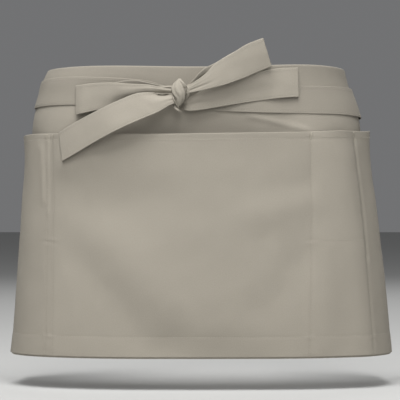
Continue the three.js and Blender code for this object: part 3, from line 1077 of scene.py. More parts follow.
@dataclass(frozen=True)
class TwillFinish:
    """Washed cotton twill: slanting wales over fine threads, a little cloudy, paler on its edges,
    and darker along its seams with dirt and painted shade.

    The tones say how strongly each part changes the mix of the deep and the pale colour, and the
    rises how much it adds to the relief.
    """

    name: str
    shade: float = 1.0
    pale: Colour = (0.372, 0.341, 0.287, 1.0)
    deep: Colour = (0.261, 0.2375, 0.198, 1.0)
    wale_pitch: float = 1.05
    wale_wander: float = 1.6
    thread_pitch: float = 0.46
    cloud_size: float = 55.0
    fibre_size: float = 1.3
    cloud_tone: float = 0.22
    fibre_tone: float = 0.55
    wale_tone: float = 0.10
    thread_tone: float = 0.05
    edge_fade: float = 0.20
    # How much the seams darken the colour: dirt and painted shade.
    seam_tone: float = 0.16
    relief: float = 0.16
    relief_depth: float = 0.35
    wale_rise: float = 0.5
    thread_rise: float = 0.3
    fibre_rise: float = 0.8
    roughness: float = 0.88
    fibre_roughness: float = 0.10
    edge_polish: float = 0.04
    specular: float = 0.12
    sheen: float = 0.02
    sheen_roughness: float = 0.55

    def shaded(self, colour: Colour) -> Colour:
        """Colour at this cloth's own depth of dye."""
        red, green, blue, cover = colour
        return red * self.shade, green * self.shade, blue * self.shade, cover

    def material(self) -> bpy.types.Material:
        """Builds the material.

        Returns:
            A material from the cloth's lengths, its edge values, and its seam dirt and painted
            shade.
        """
        sheet = NodeSheet(self.name)
        lengths = sheet.node("ShaderNodeUVMap", {"uv_map": "cloth"}).outputs["UV"]
        parts = sheet.node("ShaderNodeSeparateXYZ", None, {"Vector": lengths})
        along, down = Amount(sheet, parts.outputs["X"]), Amount(sheet, parts.outputs["Y"])
        cloud = sheet.noise(lengths, 1.0 / (self.cloud_size * MM), detail=4.0)
        fibre = sheet.noise(lengths, 1.0 / (self.fibre_size * MM), detail=2.0)
        edge, seam = sheet.attribute("edge"), sheet.attribute("seam")
        slant, fine = (FULL_TURN / (pitch * MM) for pitch in (self.wale_pitch, self.thread_pitch))
        wale = ((along + down) * slant + (fibre - 0.5) * self.wale_wander).sine()
        thread = (along * fine).sine() * (down * fine).sine()
        tone = 0.5 + (cloud - 0.5) * self.cloud_tone + (fibre - 0.5) * self.fibre_tone
        tone = tone + wale * self.wale_tone + thread * self.thread_tone
        # Darker along the seams: dirt and painted shade in their furrows.
        tone = tone + edge * self.edge_fade - seam * self.seam_tone
        rough = self.roughness + (fibre - 0.5) * self.fibre_roughness - edge * self.edge_polish
        height = wale * self.wale_rise + thread * self.thread_rise + fibre * self.fibre_rise
        depth = self.relief_depth * MM
        raised = {"Strength": self.relief, "Distance": depth, "Height": height}
        return sheet.finish(
            {
                "Base Color": sheet.colours(tone, self.shaded(self.deep), self.shaded(self.pale)),
                "Roughness": rough,
                "Normal": sheet.node("ShaderNodeBump", None, raised).outputs["Normal"],
                "Specular IOR Level": self.specular,
                "Sheen Weight": self.sheen,
                "Sheen Roughness": self.sheen_roughness,
            }
        )


@dataclass(frozen=True)
class ThreadFinish:
    """Spun sewing thread, which is a shade deeper than the cloth unless it is told otherwise."""

    name: str
    pale: Colour = (0.356, 0.325, 0.268, 1.0)
    deep: Colour = (0.262, 0.238, 0.194, 1.0)
    strand_size: float = 0.8
    roughness: float = 0.62
    strand_roughness: float = 0.2
    sheen: float = 0.1

    def material(self) -> bpy.types.Material:
        """Builds the material from Object coordinates."""
        sheet = NodeSheet(self.name)
        strand = sheet.noise(sheet.object_place(), 1.0 / (self.strand_size * MM), detail=2.0)
        return sheet.finish(
            {
                "Base Color": sheet.colours(strand, self.deep, self.pale),
                "Roughness": self.roughness + (strand - 0.5) * self.strand_roughness,
                "Sheen Weight": self.sheen,
            }
        )


@dataclass(frozen=True)
class FloorFinish:
    """Pale matt paper under the apron."""

    name: str
    pale: Colour = (0.47, 0.47, 0.46, 1.0)
    deep: Colour = (0.45, 0.45, 0.44, 1.0)
    cloud_scale: float = 0.8
    roughness: float = 0.9

    def material(self) -> bpy.types.Material:
        """Builds the material from Object coordinates."""
        sheet = NodeSheet(self.name)
        cloud = sheet.noise(sheet.object_place(), self.cloud_scale, detail=2.0)
        colour = sheet.colours(cloud, self.deep, self.pale)
        return sheet.finish({"Base Color": colour, "Roughness": self.roughness})


def add_object(name: str, data: bpy.types.ID) -> bpy.types.Object:
    """Makes an object of a mesh, a camera or a light and links it to the scene."""
    thing = bpy.data.objects.new(name, data)
    bpy.context.scene.collection.objects.link(thing)
    return thing


def add_mesh(
    name: str,
    points: np.ndarray,
    faces: list[Sequence[int]],
    material: bpy.types.Material,
    smooth: bool = True,
) -> bpy.types.Object:
    """Makes a mesh object at the origin.

    Args:
        name: Name of the piece.
        points: Points in millimetres, a row each.
        faces: Corner numbers of each face, outwards.
        material: Its finish.
        smooth: Whether the faces are shaded smooth.

    Returns:
        The linked object.
    """
    mesh = bpy.data.meshes.new(name)
    mesh.from_pydata((points * MM).tolist(), [], faces)
    mesh.polygons.foreach_set("use_smooth", [smooth] * len(mesh.polygons))
    mesh.materials.append(material)
    mesh.update()
    return add_object(name, mesh)


def add_lengths(piece: bpy.types.Object, lengths: np.ndarray, **values: np.ndarray) -> None:
    """Gives a mesh its map of lengths along and down the cloth and its named values.

    Args:
        piece: The mesh object.
        lengths: Lengths in millimetres, a row for each point.
        values: A value for each point under each name.
    """
    mesh = piece.data
    corners = np.empty(len(mesh.loops), dtype=np.int32)
    mesh.loops.foreach_get("vertex_index", corners)
    layer = mesh.uv_layers.new(name="cloth")
    layer.data.foreach_set("uv", (lengths[corners] * MM).astype(np.float32).ravel())
    for name, value in values.items():
        attribute = mesh.attributes.new(name, "FLOAT", "POINT")
        attribute.data.foreach_set("value", value.astype(np.float32))


@dataclass(frozen=True)
class SeamDirtAndShade:
    """How strongly a seam darkens the cloth's colour with dirt and painted shade, and how far to
    each side.
    """

    strength: float
    spread: float

    def at(self, away: np.ndarray) -> np.ndarray:
        """Mark at distances from the seam."""
        return self.strength * bump(away, self.spread)


@dataclass
class ClothWall:
    """Makes a closed wall of cloth with rounded edges from a surface."""

    surface: ClothSurface
    thickness: float
    downs: np.ndarray
    alongs: np.ndarray
    rim_bulge: float = 0.9
    edge_wear: float = 1.4

    def grid(self) -> tuple[np.ndarray, np.ndarray]:
        """Places of the points, so ordered that the outer faces point outwards."""
        rightwards = self.surface.heading is Heading.RIGHTWARDS
        alongs = self.alongs if rightwards else self.alongs[::-1]
        return np.meshgrid(self.downs, alongs, indexing="ij")

    def faces(self, rows: int, columns: int) -> tuple[list[Sequence[int]], np.ndarray]:
        """Faces of the two sides and the rim.

        Args:
            rows: Points down the cloth.
            columns: Points along it.

        Returns:
            The faces and the numbers of the points round the edge.
        """
        side = rows * columns
        number = np.arange(side).reshape(rows, columns)
        corners = (number[:-1, :-1], number[1:, :-1], number[1:, 1:], number[:-1, 1:])
        outer = np.stack(corners, axis=-1).reshape(-1, 4)
        inner = outer[:, ::-1] + side
        edges = (number[0, :-1], number[:-1, -1], number[-1, :0:-1], number[:0:-1, 0])
        ring = np.concatenate(edges)
        after, rim = np.roll(ring, -1), 2 * side + np.arange(len(ring))
        rim_after = np.roll(rim, -1)
        upper = np.stack((ring, after, rim_after, rim), axis=-1)
        lower = np.stack((rim, rim_after, after + side, ring + side), axis=-1)
        return np.concatenate((outer, inner, upper, lower)).tolist(), ring

    def build(self, name: str, material: bpy.types.Material, seam: np.ndarray) -> bpy.types.Object:
        """Makes the mesh.

        Args:
            name: Name of the piece.
            material: Its finish.
            seam: How strongly each point of the grid is darkened by a seam's dirt and painted
                shade.

        Returns:
            The object.
        """
        down, along = self.grid()
        rows, columns = down.shape
        faces, ring = self.faces(rows, columns)
        middle = self.surface.middle(down, along)
        half = 0.5 * self.thickness
        shift = self.surface.outward(down, along) * half
        inner_row = np.clip(np.arange(rows), 1, rows - 2)
        inner_column = np.clip(np.arange(columns), 1, columns - 2)
        away = unit((middle - middle[np.ix_(inner_row, inner_column)]).reshape(-1, 3)[ring])
        rim = middle.reshape(-1, 3)[ring] + away * half * self.rim_bulge
        sides = (middle + shift).reshape(-1, 3), (middle - shift).reshape(-1, 3)
        length = running(np.linalg.norm(np.diff(middle[rows // 2], axis=0), axis=-1))
        lengths = np.stack((np.broadcast_to(length, down.shape), down), axis=-1).reshape(-1, 2)
        fall = np.minimum(down - down.min(), down.max() - down)
        end = np.broadcast_to(np.minimum(length, length[-1] - length), down.shape)
        edge = np.exp(-np.minimum(fall, end) / self.edge_wear).ravel()
        # How strongly each point is darkened by dirt and painted shade at its seams.
        seam_dirt_and_shade = np.clip(seam, 0.0, 1.0).ravel()
        piece = add_mesh(name, np.concatenate((*sides, rim)), faces, material)
        on_wall = {
            key: np.concatenate((value, value, value[ring]))
            for key, value in (("lengths", lengths), ("edge", edge), ("seam", seam_dirt_and_shade))
        }
        add_lengths(piece, **on_wall)
        return piece


@dataclass(frozen=True)
class StitchLine:
    """A row of stitches on a surface, from place to place by down and along."""

    start: tuple[float, float]
    stop: tuple[float, float]

    def places(self, count: int) -> tuple[np.ndarray, np.ndarray]:
        """Even places down and along the row."""
        share = np.linspace(0.0, 1.0, count)
        down, along = (a + (b - a) * share for a, b in zip(self.start, self.stop))
        return down, along


@dataclass
class Stitching:
    """Rows of stitches that lie on a cloth, set out along guide lines by Geometry Nodes."""

    pitch: float = 3.0
    length: float = 2.3
    width: float = 0.62
    height: float = 0.42
    seed: int = 7
    guide_points: int = 260
    smallest: float = 0.88
    largest: float = 1.06

    def tree(self) -> bpy.types.NodeTree:
        """Builds the node tree.

        Returns:
            A tree with named inputs for the stitch's sizes, the pitch, the seed and the thread.
        """
        tree = bpy.data.node_groups.new("stitch_rows", "GeometryNodeTree")
        sockets = {"Geometry": "Geometry"}
        sockets.update(dict.fromkeys(("Pitch", "Length", "Width", "Height"), "Float"))
        sockets.update(Seed="Int", Thread="Material")
        for name, kind in sockets.items():
            tree.interface.new_socket(name, in_out="INPUT", socket_type=f"NodeSocket{kind}")
        tree.interface.new_socket("Geometry", in_out="OUTPUT", socket_type="NodeSocketGeometry")
        board = NodeBoard(tree)

        def add(
            kind: str, settings: dict[str, object] | None = None, **inputs: object
        ) -> bpy.types.NodeSocket:
            """Adds a node with named inputs and gives its first output."""
            return board.node(kind, settings, inputs).outputs[0]

        given = board.node("NodeGroupInput").outputs
        line = add("GeometryNodeMeshToCurve", Mesh=given["Geometry"])
        by_length = {"mode": "LENGTH"}
        spaced = add("GeometryNodeResampleCurve", by_length, Curve=line, Length=given["Pitch"])
        vector = {"data_type": "FLOAT_VECTOR"}
        outward = add("GeometryNodeInputNamedAttribute", vector, Name="outward")
        upright = add("FunctionNodeAlignRotationToVector", {"axis": "Z"}, Vector=outward)
        turned = add(
            "FunctionNodeAlignRotationToVector",
            {"axis": "X", "pivot_axis": "Z"},
            Rotation=upright,
            Vector=add("GeometryNodeInputTangent"),
        )
        sizes = {"X": given["Length"], "Y": given["Width"], "Z": given["Height"]}
        size = add("ShaderNodeCombineXYZ", **sizes)
        bead = add("GeometryNodeMeshUVSphere", Segments=6, Rings=4, Radius=0.5)
        stitch = add("GeometryNodeTransform", Geometry=bead, Scale=size)
        soft = add("GeometryNodeSetShadeSmooth", Geometry=stitch)
        limits = {2: self.smallest, 3: self.largest, "Seed": given["Seed"]}
        uneven = board.node("FunctionNodeRandomValue", {"data_type": "FLOAT"}, limits).outputs[1]
        rows = add(
            "GeometryNodeInstanceOnPoints",
            Points=spaced,
            Instance=soft,
            Rotation=turned,
            Scale=uneven,
        )
        real = add("GeometryNodeRealizeInstances", Geometry=rows)
        dressed = add("GeometryNodeSetMaterial", Geometry=real, Material=given["Thread"])
        board.node("NodeGroupOutput", None, {"Geometry": dressed})
        return tree

    def build(
        self,
        name: str,
        surface: ClothSurface,
        lines: Sequence[StitchLine],
        lift: float,
        thread: bpy.types.Material,
    ) -> bpy.types.Object:
        """Sews rows onto a surface.

        Args:
            name: Name of the piece.
            surface: The cloth.
            lines: The rows.
            lift: Distance of the middle of a stitch from the middle of the cloth.
            thread: Finish of the stitches.

        Returns:
            One plain mesh object of all the stitches.
        """
        points, outward, edges = [], [], []
        for number, line in enumerate(lines):
            down, along = line.places(self.guide_points)
            first = number * self.guide_points
            points.append(surface.lifted(down, along, lift))
            outward.append(surface.outward(down, along))
            edges.extend((first + i, first + i + 1) for i in range(self.guide_points - 1))
        mesh = bpy.data.meshes.new(name)
        mesh.from_pydata((np.concatenate(points) * MM).tolist(), edges, [])
        facing = mesh.attributes.new("outward", "FLOAT_VECTOR", "POINT")
        facing.data.foreach_set("vector", np.concatenate(outward).astype(np.float32).ravel())
        piece = add_object(name, mesh)
        tree = bpy.data.node_groups.get("stitch_rows") or self.tree()
        sewing = piece.modifiers.new("sewing", "NODES")
        sewing.node_group = tree
        given = {
            "Pitch": self.pitch * MM,
            "Length": self.length * MM,
            "Width": self.width * MM,
            "Height": self.height * MM,
            "Seed": self.seed,
            "Thread": thread,
        }
        for item in tree.interface.items_tree:
            if item.in_out == "INPUT" and item.name in given:
                sewing[item.identifier] = given[item.name]
        ready = piece.evaluated_get(bpy.context.evaluated_depsgraph_get())
        sewn = bpy.data.meshes.new_from_object(ready)
        piece.modifiers.remove(sewing)
        piece.data = sewn
        sewn.name = name
        return piece


class Tailor:
    """Finishes and the fixing of pieces to the body that every sub-assembly shares."""

    # The tack thread is paler than the cloth: painted light that lifts the shade among its stitches
    # and stands in for their highlights.
    tack_pale: Colour = (0.470, 0.430, 0.356, 1.0)
    tack_deep: Colour = (0.395, 0.360, 0.296, 1.0)
    cloths: tuple[tuple[str, float, float], ...] = (
        ("panel", 1.0, 0.1),
        ("band", 0.9, 0.06),
        ("pocket", 1.0, 0.0),
        ("tie", 0.9, 0.0),
        ("bow", 1.0, 0.12),
    )

    def __init__(self) -> None:
        """Makes the finishes, each twill with its own shade and fade of the edges."""
        self.thread = ThreadFinish("matched_thread").material()
        self.tack_thread = ThreadFinish("tack_thread", self.tack_pale, self.tack_deep).material()
        self.twill = {
            name: TwillFinish(f"{name}_twill", shade, edge_fade=fade).material()
            for name, shade, fade in self.cloths
        }
        self.form = BodyForm()

    def hand_in(self, piece: bpy.types.Object, slot: str, *nodes: str) -> bpy.types.Object:
        """Fixes a piece to the body and hides the solids it stands for."""
        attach(piece, BODY)
        if nodes:
            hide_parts(*nodes)
        LOG.info("%s: %d faces", piece.name, len(piece.data.polygons))
        return piece

    def sew(
        self,
        name: str,
        slot: str,
        cloth: ClothSurface,
        lines: Sequence[StitchLine],
        lift: float,
        seed: int,
    ) -> bpy.types.Object:
        """Sews rows of matched thread onto a cloth and fixes them to the body.

        Args:
            name: Name of the piece.
            slot: Slot of its finish; not used.
            cloth: The cloth.
            lines: The rows.
            lift: Distance of the middle of a stitch from the middle of the cloth.
            seed: Seed of the small differences between stitches.

        Returns:
            The stitches.
        """
        rows = Stitching(seed=seed).build(name, cloth, lines, lift, self.thread)
        return self.hand_in(rows, slot)


@dataclass
class SkirtWork:
    """The skirt panel and the waistband folded over its top edge."""

    tailor: Tailor
    thickness: float = 0.9
    thread_lift: float = 0.52
    skirt_top: float = 2.5
    hem_row_top: float = 44.0
    hem_row_end: float = 3.0
    # The hem and band marks darken the colour along their seams: dirt and painted shade.
    hem_mark: SeamDirtAndShade = SeamDirtAndShade(1.0, 1.6)
    belt_drops: tuple[float, float] = (60, 68)
    band_thickness: float = 0.55
    band_seam: float = 3.0
    band_mark: SeamDirtAndShade = SeamDirtAndShade(1.0, 1.3)
    band_row_end: float = 4.0

    def build(self) -> None:
        """Makes and sews both pieces and fixes them to the body."""
        self.build_skirt()
        self.build_band()

    def build_skirt(self) -> None:
        """Makes the skirt panel with its side hems."""
        cloth = SkirtCloth(self.tailor.form)
        half, foot = cloth.half_arc, cloth.length
        side = half - cloth.hem
        fine_at = (*self.belt_drops, foot)
        downs = stations(self.skirt_top, foot, step=4.5, fine_at=fine_at, fine=1.2, reach=7)
        fine_at = (-half, -side, side, half)
        alongs = stations(-half, half, step=4.5, fine_at=fine_at, fine=0.9, reach=4)
        wall = ClothWall(cloth, self.thickness, downs, alongs)
        _, arc = wall.grid()
        seam_dirt_and_shade = self.hem_mark.at(np.abs(arc) - side)
        panel = wall.build("skirt_cloth", self.tailor.twill["panel"], seam_dirt_and_shade)
        self.tailor.hand_in(panel, "panel_cloth", "skirt_panel")
        end = foot - self.hem_row_end
        lines = [StitchLine((self.hem_row_top, s), (end, s)) for s in (-side, side)]
        lift = self.thread_lift * self.thickness
        rows = self.tailor.sew("skirt_side_stitching", "panel_cloth", cloth, lines, lift, seed=21)

    def build_band(self) -> None:
        """Makes the waistband with the seam along its lower edge."""
        cloth = BandCloth(self.tailor.form)
        half, strip = cloth.half_arc, cloth.strip
        seam = strip - self.band_seam
        fine_at = (0.0, 0.5 * strip, seam, strip)
        downs = stations(0.0, strip, step=3.0, fine_at=fine_at, fine=0.6, reach=4)
        alongs = stations(-half, half, step=4.0, fine_at=(-half, half), fine=0.9, reach=4)
        wall = ClothWall(cloth, self.band_thickness, downs, alongs)
        down, _ = wall.grid()
        seam_dirt_and_shade = self.band_mark.at(down - seam)
        band = wall.build("waistband_cloth", self.tailor.twill["band"], seam_dirt_and_shade)
        self.tailor.hand_in(band, "band_cloth", "waistband")
        reach = half - self.band_row_end
        lines = [StitchLine((seam, -reach), (seam, reach))]
        lift = 0.5 * self.band_thickness
        rows = self.tailor.sew("waistband_stitching", "band_cloth", cloth, lines, lift, seed=23)


@dataclass
class PocketWork:
    """The pocket panel with its hems, the rows that part its pockets and the bar tacks."""

    tailor: Tailor
    thickness: float = 0.6
    row_top: float = 1.5
    row_end: float = 2.0
    side_row: float = 3.0
    # These marks darken the colour along the hems and rows: dirt and painted shade.
    hem_mark: SeamDirtAndShade = SeamDirtAndShade(0.5, 1.5)
    mouth_mark: SeamDirtAndShade = SeamDirtAndShade(0.1, 1.4)
    row_mark: SeamDirtAndShade = SeamDirtAndShade(0.6, 1.6)
    tack_top: float = 1.2
    tack_length: float = 7.0
    tack_width: float = 1.8
    tack_turns: int = 7
    tack_lift: float = 0.15

    def build(self) -> None:
        cloth = PocketCloth(self.tailor.form)
        half, hem, mouth = cloth.half_arc, cloth.hem_drop, cloth.mouth_row
        narrow = POCKETS[2]
        fine_at = (cloth.top, mouth, narrow.foot, hem, cloth.foot)
        downs = stations(cloth.top, cloth.foot, step=4.0, fine_at=fine_at, fine=0.8, reach=5)
        seams = [arc for row in cloth.rows for arc in (row.mouth_arc, row.foot_arc)]
        fine_at = (-half, *seams, half)
        alongs = stations(-half, half, step=4.0, fine_at=fine_at, fine=0.9, reach=6)
        wall = ClothWall(cloth, self.thickness, downs, alongs)
        drop, arc = wall.grid()
        seam_dirt_and_shade = self.hem_mark.at(drop - hem) + self.mouth_mark.at(drop - mouth)
        for row in cloth.rows:
            seam_dirt_and_shade = seam_dirt_and_shade + self.row_mark.at(arc - row.arc_at(drop))
        panel = wall.build("pocket_cloth", self.tailor.twill["pocket"], seam_dirt_and_shade)
        self.tailor.hand_in(panel, "pocket_cloth", "pocket_panel")
        lift = 0.5 * self.thickness
        lines = self.rows(cloth, narrow)
        rows = self.tailor.sew("pocket_stitching", "pocket_cloth", cloth, lines, lift, seed=31)
        tacks = self.build_tacks(cloth, lift)

    def rows(self, cloth: PocketCloth, narrow: Compartment) -> list[StitchLine]:
        """Sets out the stitching of the panel.

        Args:
            cloth: The pocket panel's surface.
            narrow: The pocket that is shut by a level row at its foot.

        Returns:
            The rows between the pockets, along both sides, the hem and the mouth, and that row.
        """
        top, foot = cloth.top + self.row_top, cloth.foot - self.row_end
        edge = cloth.half_arc - self.side_row
        seams = [(float(row.arc_at(top)), float(row.arc_at(foot))) for row in cloth.rows]
        upright = [*seams, (-edge, -edge), (edge, edge)]
        ends = float(narrow.left.arc_at(narrow.foot)), float(narrow.right.arc_at(narrow.foot))
        level = [
            (cloth.hem_drop, (-edge, edge)),
            (cloth.mouth_row, (-edge, edge)),
            (narrow.foot, ends),
        ]
        lines = [StitchLine((top, start), (foot, stop)) for start, stop in upright]
        lines += [StitchLine((drop, start), (drop, stop)) for drop, (start, stop) in level]
        return lines

    def build_tacks(self, cloth: PocketCloth, lift: float) -> bpy.types.Object:
        """Makes the bar tacks that hold the corners of the mouths.

        Args:
            cloth: The pocket panel's surface.
            lift: Distance of the thread from the middle of the cloth.

        Returns:
            One object of all the tacks.
        """
        lines = []
        start = cloth.top + self.tack_top
        step = self.tack_length / (2 * self.tack_turns)
        for arc in (row.mouth_arc for row in cloth.rows):
            for turn in range(2 * self.tack_turns):
                side = 0.5 * self.tack_width * (1 if turn % 2 else -1)
                first, second = start + turn * step, start + (turn + 1) * step
                lines.append(StitchLine((first, arc - side), (second, arc + side)))
        thread = Stitching(pitch=1.9, length=2.4, width=0.6, height=0.5, seed=37, guide_points=6)
        # Thread paler than the cloth: painted light on the tacks.
        finish, lift = self.tailor.tack_thread, lift + self.tack_lift
        tacks = thread.build("pocket_bar_tacks", cloth, lines, lift, finish)
        return self.tailor.hand_in(tacks, "pocket_cloth")


@dataclass
class TieWork:
    """The two ties, from the rear ends of the waistband round to the knot."""

    tailor: Tailor
    thickness: float = 0.5
    row_start: float = 0.8
    row_end: float = 8.0
    # This mark darkens the colour along the edge rows: dirt and painted shade.
    row_mark: SeamDirtAndShade = SeamDirtAndShade(0.5, 1.0)

    def build(self) -> None:
        """Makes both ties."""
        self.build_tie("tie_left", TIE_LEFT, Heading.RIGHTWARDS, 1.5)
        self.build_tie("tie_right", TIE_RIGHT, Heading.LEFTWARDS, 6.0)

    def build_tie(
        self,
        name: str,
        steps: Sequence[TieStep],
        heading: Heading,
        tuck_at: float,
    ) -> None:
        """Makes, sews and fixes one tie to the body.

        Args:
            name: The node that it stands for.
            steps: Its route.
            heading: The way it runs.
            tuck_at: How far below the waistband it leans in to the skirt.
        """
        cloth = TieCloth(self.tailor.form, Track(steps, "turn"), heading, tuck_at=tuck_at)
        rows, width, last = cloth.edge_rows, cloth.cut_width, cloth.last
        downs = stations(0.0, width, step=2.0, fine_at=(0.0, *rows, width), fine=0.6, reach=2)
        alongs = stations(0.0, last, step=1.1, fine_at=(0.0, last), fine=0.3, reach=6)
        wall = ClothWall(cloth, self.thickness, downs, alongs)
        down, _ = wall.grid()
        seam_dirt_and_shade = sum(self.row_mark.at(down - row) for row in rows)
        strip = wall.build(f"{name}_cloth", self.tailor.twill["tie"], seam_dirt_and_shade)
        self.tailor.hand_in(strip, "tie_cloth", name)
        end = last - self.row_end
        lines = [StitchLine((row, self.row_start), (row, end)) for row in rows]
        lift = 0.5 * self.thickness
        sewn = self.tailor.sew(f"{name}_stitching", "tie_cloth", cloth, lines, lift, seed=41)


@dataclass
class BowWork:
    """The bow: a knot, two loops and two tails."""

    tailor: Tailor
    thickness: float = 0.75
    row_start: float = 1.2
    row_end: float = 0.02
    # This mark darkens the colour along the edge rows: dirt and painted shade.
    row_mark: SeamDirtAndShade = SeamDirtAndShade(0.5, 1.0)
    hem_row: float = 0.3
    hem_inset: float = 1.0
    knot_turns: int = 40
    knot_steps: int = 48
    knot_nudge: float = 0.01
    knot_ridge: float = 0.1
    knot_crinkle: float = 0.02
    crinkles_a_ridge: int = 3
    crinkle_twist: float = 5.0
    knot_twist: float = 2.3
    knot_flatness: float = 0.92

    def build(self) -> None:
        """Makes the loops, the tails and the knot."""
        left, right = Heading.LEFTWARDS, Heading.RIGHTWARDS
        self.build_ribbon("bow_loop_left", LOOP_LEFT, left, LOOP_LEFT_CREASES, False)
        self.build_ribbon("bow_loop_right", LOOP_RIGHT, right, LOOP_RIGHT_CREASES, False)
        self.build_ribbon("bow_tail_left", TAIL_LEFT, left, TAIL_LEFT_CREASES, True)
        self.build_ribbon("bow_tail_right", TAIL_RIGHT, right, TAIL_RIGHT_CREASES, True)
        self.build_knot()

    def build_ribbon(
        self,
        name: str,
        steps: Sequence[BowStep],
        heading: Heading,
        creases: Sequence[BowCrease],
        free_end: bool,
    ) -> None:
        """Makes, sews and fixes one loop or tail to the body.

        Args:
            name: The node that it stands for.
            steps: Its route.
            heading: The way it runs as seen from the front.
            creases: Its creases and hollows.
            free_end: Whether it ends in a hem.
        """
        cloth = BowCloth(self.tailor.form, Track(steps), heading, creases=creases)
        rows, width, last = cloth.edge_rows, cloth.cut_width, cloth.last
        downs = stations(0.0, width, step=1.4, fine_at=(0.0, *rows, width), fine=0.5, reach=2)
        alongs = stations(0.0, last, step=0.09, fine_at=(0.0, last), fine=0.04, reach=0.3)
        wall = ClothWall(cloth, self.thickness, downs, alongs)
        down, _ = wall.grid()
        seam_dirt_and_shade = sum(self.row_mark.at(down - row) for row in rows)
        ribbon = wall.build(f"{name}_cloth", self.tailor.twill["bow"], seam_dirt_and_shade)
        self.tailor.hand_in(ribbon, "bow_cloth", name)
        end = last - (self.row_end if free_end else self.row_start)
        lines = [StitchLine((row, self.row_start), (row, end)) for row in rows]
        if free_end:
            hem = last - self.hem_row
            lines.append(StitchLine((self.hem_inset, hem), (width - self.hem_inset, hem)))
        lift = 0.5 * self.thickness
        sewn = self.tailor.sew(f"{name}_stitching", "bow_cloth", cloth, lines, lift, seed=51)

    def roll(
        self, steps: Sequence[RollStep], waves: int
    ) -> tuple[np.ndarray, list[list[int]], np.ndarray]:
        """Points of one roll of cloth in the knot, closed at both ends.

        Args:
            steps: Its sections from end to end.
            waves: Number of ridges round it.

        Returns:
            Points, faces, and lengths along and down the cloth.
        """
        track = Track(steps)
        step = np.linspace(0.0, track.key[-1], self.knot_steps)
        row = track.at(step)
        ahead, behind = track.at(step + self.knot_nudge), track.at(step - self.knot_nudge)
        run_x, run_z = ahead["x"] - behind["x"], ahead["z"] - behind["z"]
        run = np.hypot(run_x, run_z)
        run_x, run_z = (run_x / run)[:, None], (run_z / run)[:, None]
        turn = np.linspace(0.0, FULL_TURN, self.knot_turns, endpoint=False)
        twist = self.knot_twist * step[:, None] / track.key[-1]
        ridge = 1.0 + self.knot_ridge * np.cos(waves * (turn + twist))
        crinkle = self.crinkles_a_ridge * waves * turn + self.crinkle_twist * twist
        ridge = ridge + self.knot_crinkle * np.cos(crinkle)
        round_side, round_deep = (
            np.sign(part) * np.abs(part) ** self.knot_flatness
            for part in (np.cos(turn), np.sin(turn))
        )
        side = row["half_width"][:, None] * round_side * ridge
        deep = row["half_depth"][:, None] * round_deep * ridge
        face = self.tailor.form.front(row["x"], row["z"])
        x = row["x"][:, None] - run_z * side
        y = (face - row["front"])[:, None] - deep
        z = row["z"][:, None] + run_x * side
        number = np.arange(self.knot_steps * self.knot_turns).reshape(-1, self.knot_turns)
        after = np.roll(number, -1, axis=1)
        corners = (number[:-1], after[:-1], after[1:], number[1:])
        faces = np.stack(corners, axis=-1).reshape(-1, 4).tolist()
        faces += [number[0, ::-1].tolist(), number[-1].tolist()]
        down = running(np.hypot(np.diff(row["x"]), np.diff(row["z"])))
        around = turn * row["half_width"].max()
        lengths = np.stack(np.broadcast_arrays(around, down[:, None]), axis=-1)
        return np.stack((x, y, z), axis=-1).reshape(-1, 3), faces, lengths.reshape(-1, 2)

    def build_knot(self) -> None:
        """Makes the knot from the wrap in front, two rolls, two lips and the cloth behind."""
        points, faces, lengths = [], [], []
        rolls = (
            (KNOT_WRAP, 7),
            (KNOT_TOP_ROLL, 3),
            (KNOT_SIDE_ROLL, 4),
            (KNOT_FOOT_LIP, 2),
            (KNOT_LEFT_LIP, 2),
            (KNOT_HEART, 6),
        )
        for steps, waves in rolls:
            first = sum(len(part) for part in points)
            some_points, some_faces, some_lengths = self.roll(steps, waves)
            points.append(some_points)
            faces += [[first + corner for corner in face] for face in some_faces]
            lengths.append(some_lengths)
        cloth = self.tailor.twill["bow"]
        knot = add_mesh("bow_knot_cloth", np.concatenate(points), faces, cloth)
        blank = np.zeros(len(knot.data.vertices))
        add_lengths(knot, np.concatenate(lengths), edge=blank, seam=blank)
        self.tailor.hand_in(knot, "bow_cloth", "bow_knot")


@dataclass(frozen=True)
class SoftLight:
    """A square soft light: where it hangs in metres, the length of its side and its power."""

    name: str
    place: Place
    size: float
    power: float


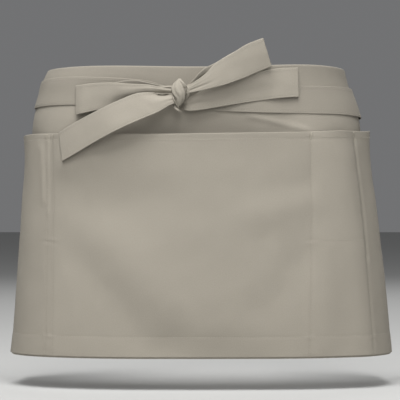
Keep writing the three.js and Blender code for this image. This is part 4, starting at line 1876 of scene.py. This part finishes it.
@dataclass
class Studio:
    """The camera, the soft lights and the pale floor, in metres."""

    camera_place: Place = (0.00527, -3.0, -0.1217)
    lens: float = 230.77
    sensor: float = 36.0
    view_end: float = 60.0
    floor_z: float = -0.335
    floor_reach: float = 14.0
    lights: tuple[SoftLight, ...] = (
        SoftLight("key", (-0.23, -1.30, 2.58), 2.0, 133.0),
        SoftLight("front", (0.10, -3.0, 1.45), 1.4, 33.0),
        SoftLight("back", (0.4, 2.6, 1.9), 2.0, 22.0),
    )
    light_aim: Place = (0.0, 0.0, -0.12)
    air: Colour = (0.93, 0.94, 0.96, 1.0)
    air_strength: float = 0.18

    def build(self) -> None:
        """Sets up everything round the apron."""
        self.add_camera()
        self.add_floor()
        for light in self.lights:
            self.add_light(light)
        world = bpy.data.worlds.new("studio")
        world.use_nodes = True
        background = world.node_tree.nodes["Background"]
        background.inputs["Color"].default_value = self.air
        background.inputs["Strength"].default_value = self.air_strength
        bpy.context.scene.world = world
        bpy.context.scene.view_settings.view_transform = "Standard"

    def add_camera(self) -> None:
        """Places the camera level before the middle of the apron."""
        data = bpy.data.cameras.new("camera")
        data.lens = self.lens
        data.sensor_width = self.sensor
        data.clip_end = self.view_end
        camera = add_object("camera", data)
        camera.location = self.camera_place
        camera.rotation_euler = (math.radians(90.0), 0.0, 0.0)
        bpy.context.scene.camera = camera

    def add_floor(self) -> None:
        """Lays the floor below the hem."""
        reach, level = self.floor_reach / MM, self.floor_z / MM
        around = ((-1, -1), (1, -1), (1, 1), (-1, 1))
        corners = np.array([[x * reach, y * reach, level] for x, y in around])
        paper = FloorFinish("pale_paper").material()
        add_mesh("floor", corners, [(0, 1, 2, 3)], paper, smooth=False)

    def add_light(self, light: SoftLight) -> None:
        """Hangs a light so that it faces the apron."""
        data = bpy.data.lights.new(light.name, "AREA")
        data.size = light.size
        data.energy = light.power
        lamp = add_object(light.name, data)
        lamp.location = light.place
        x, y, z = aim = np.array(self.light_aim) - np.array(light.place)
        lamp.rotation_euler = (math.acos(-z / np.linalg.norm(aim)), 0.0, math.atan2(-x, y))


def main() -> None:
    """Builds the apron and the studio in order."""
    logging.basicConfig(level=logging.INFO, format="%(name)s %(message)s")
    Studio().build()
    tailor = Tailor()
    SkirtWork(tailor).build()
    PocketWork(tailor).build()
    TieWork(tailor).build()
    BowWork(tailor).build()


if __name__ == "__main__":
    main()
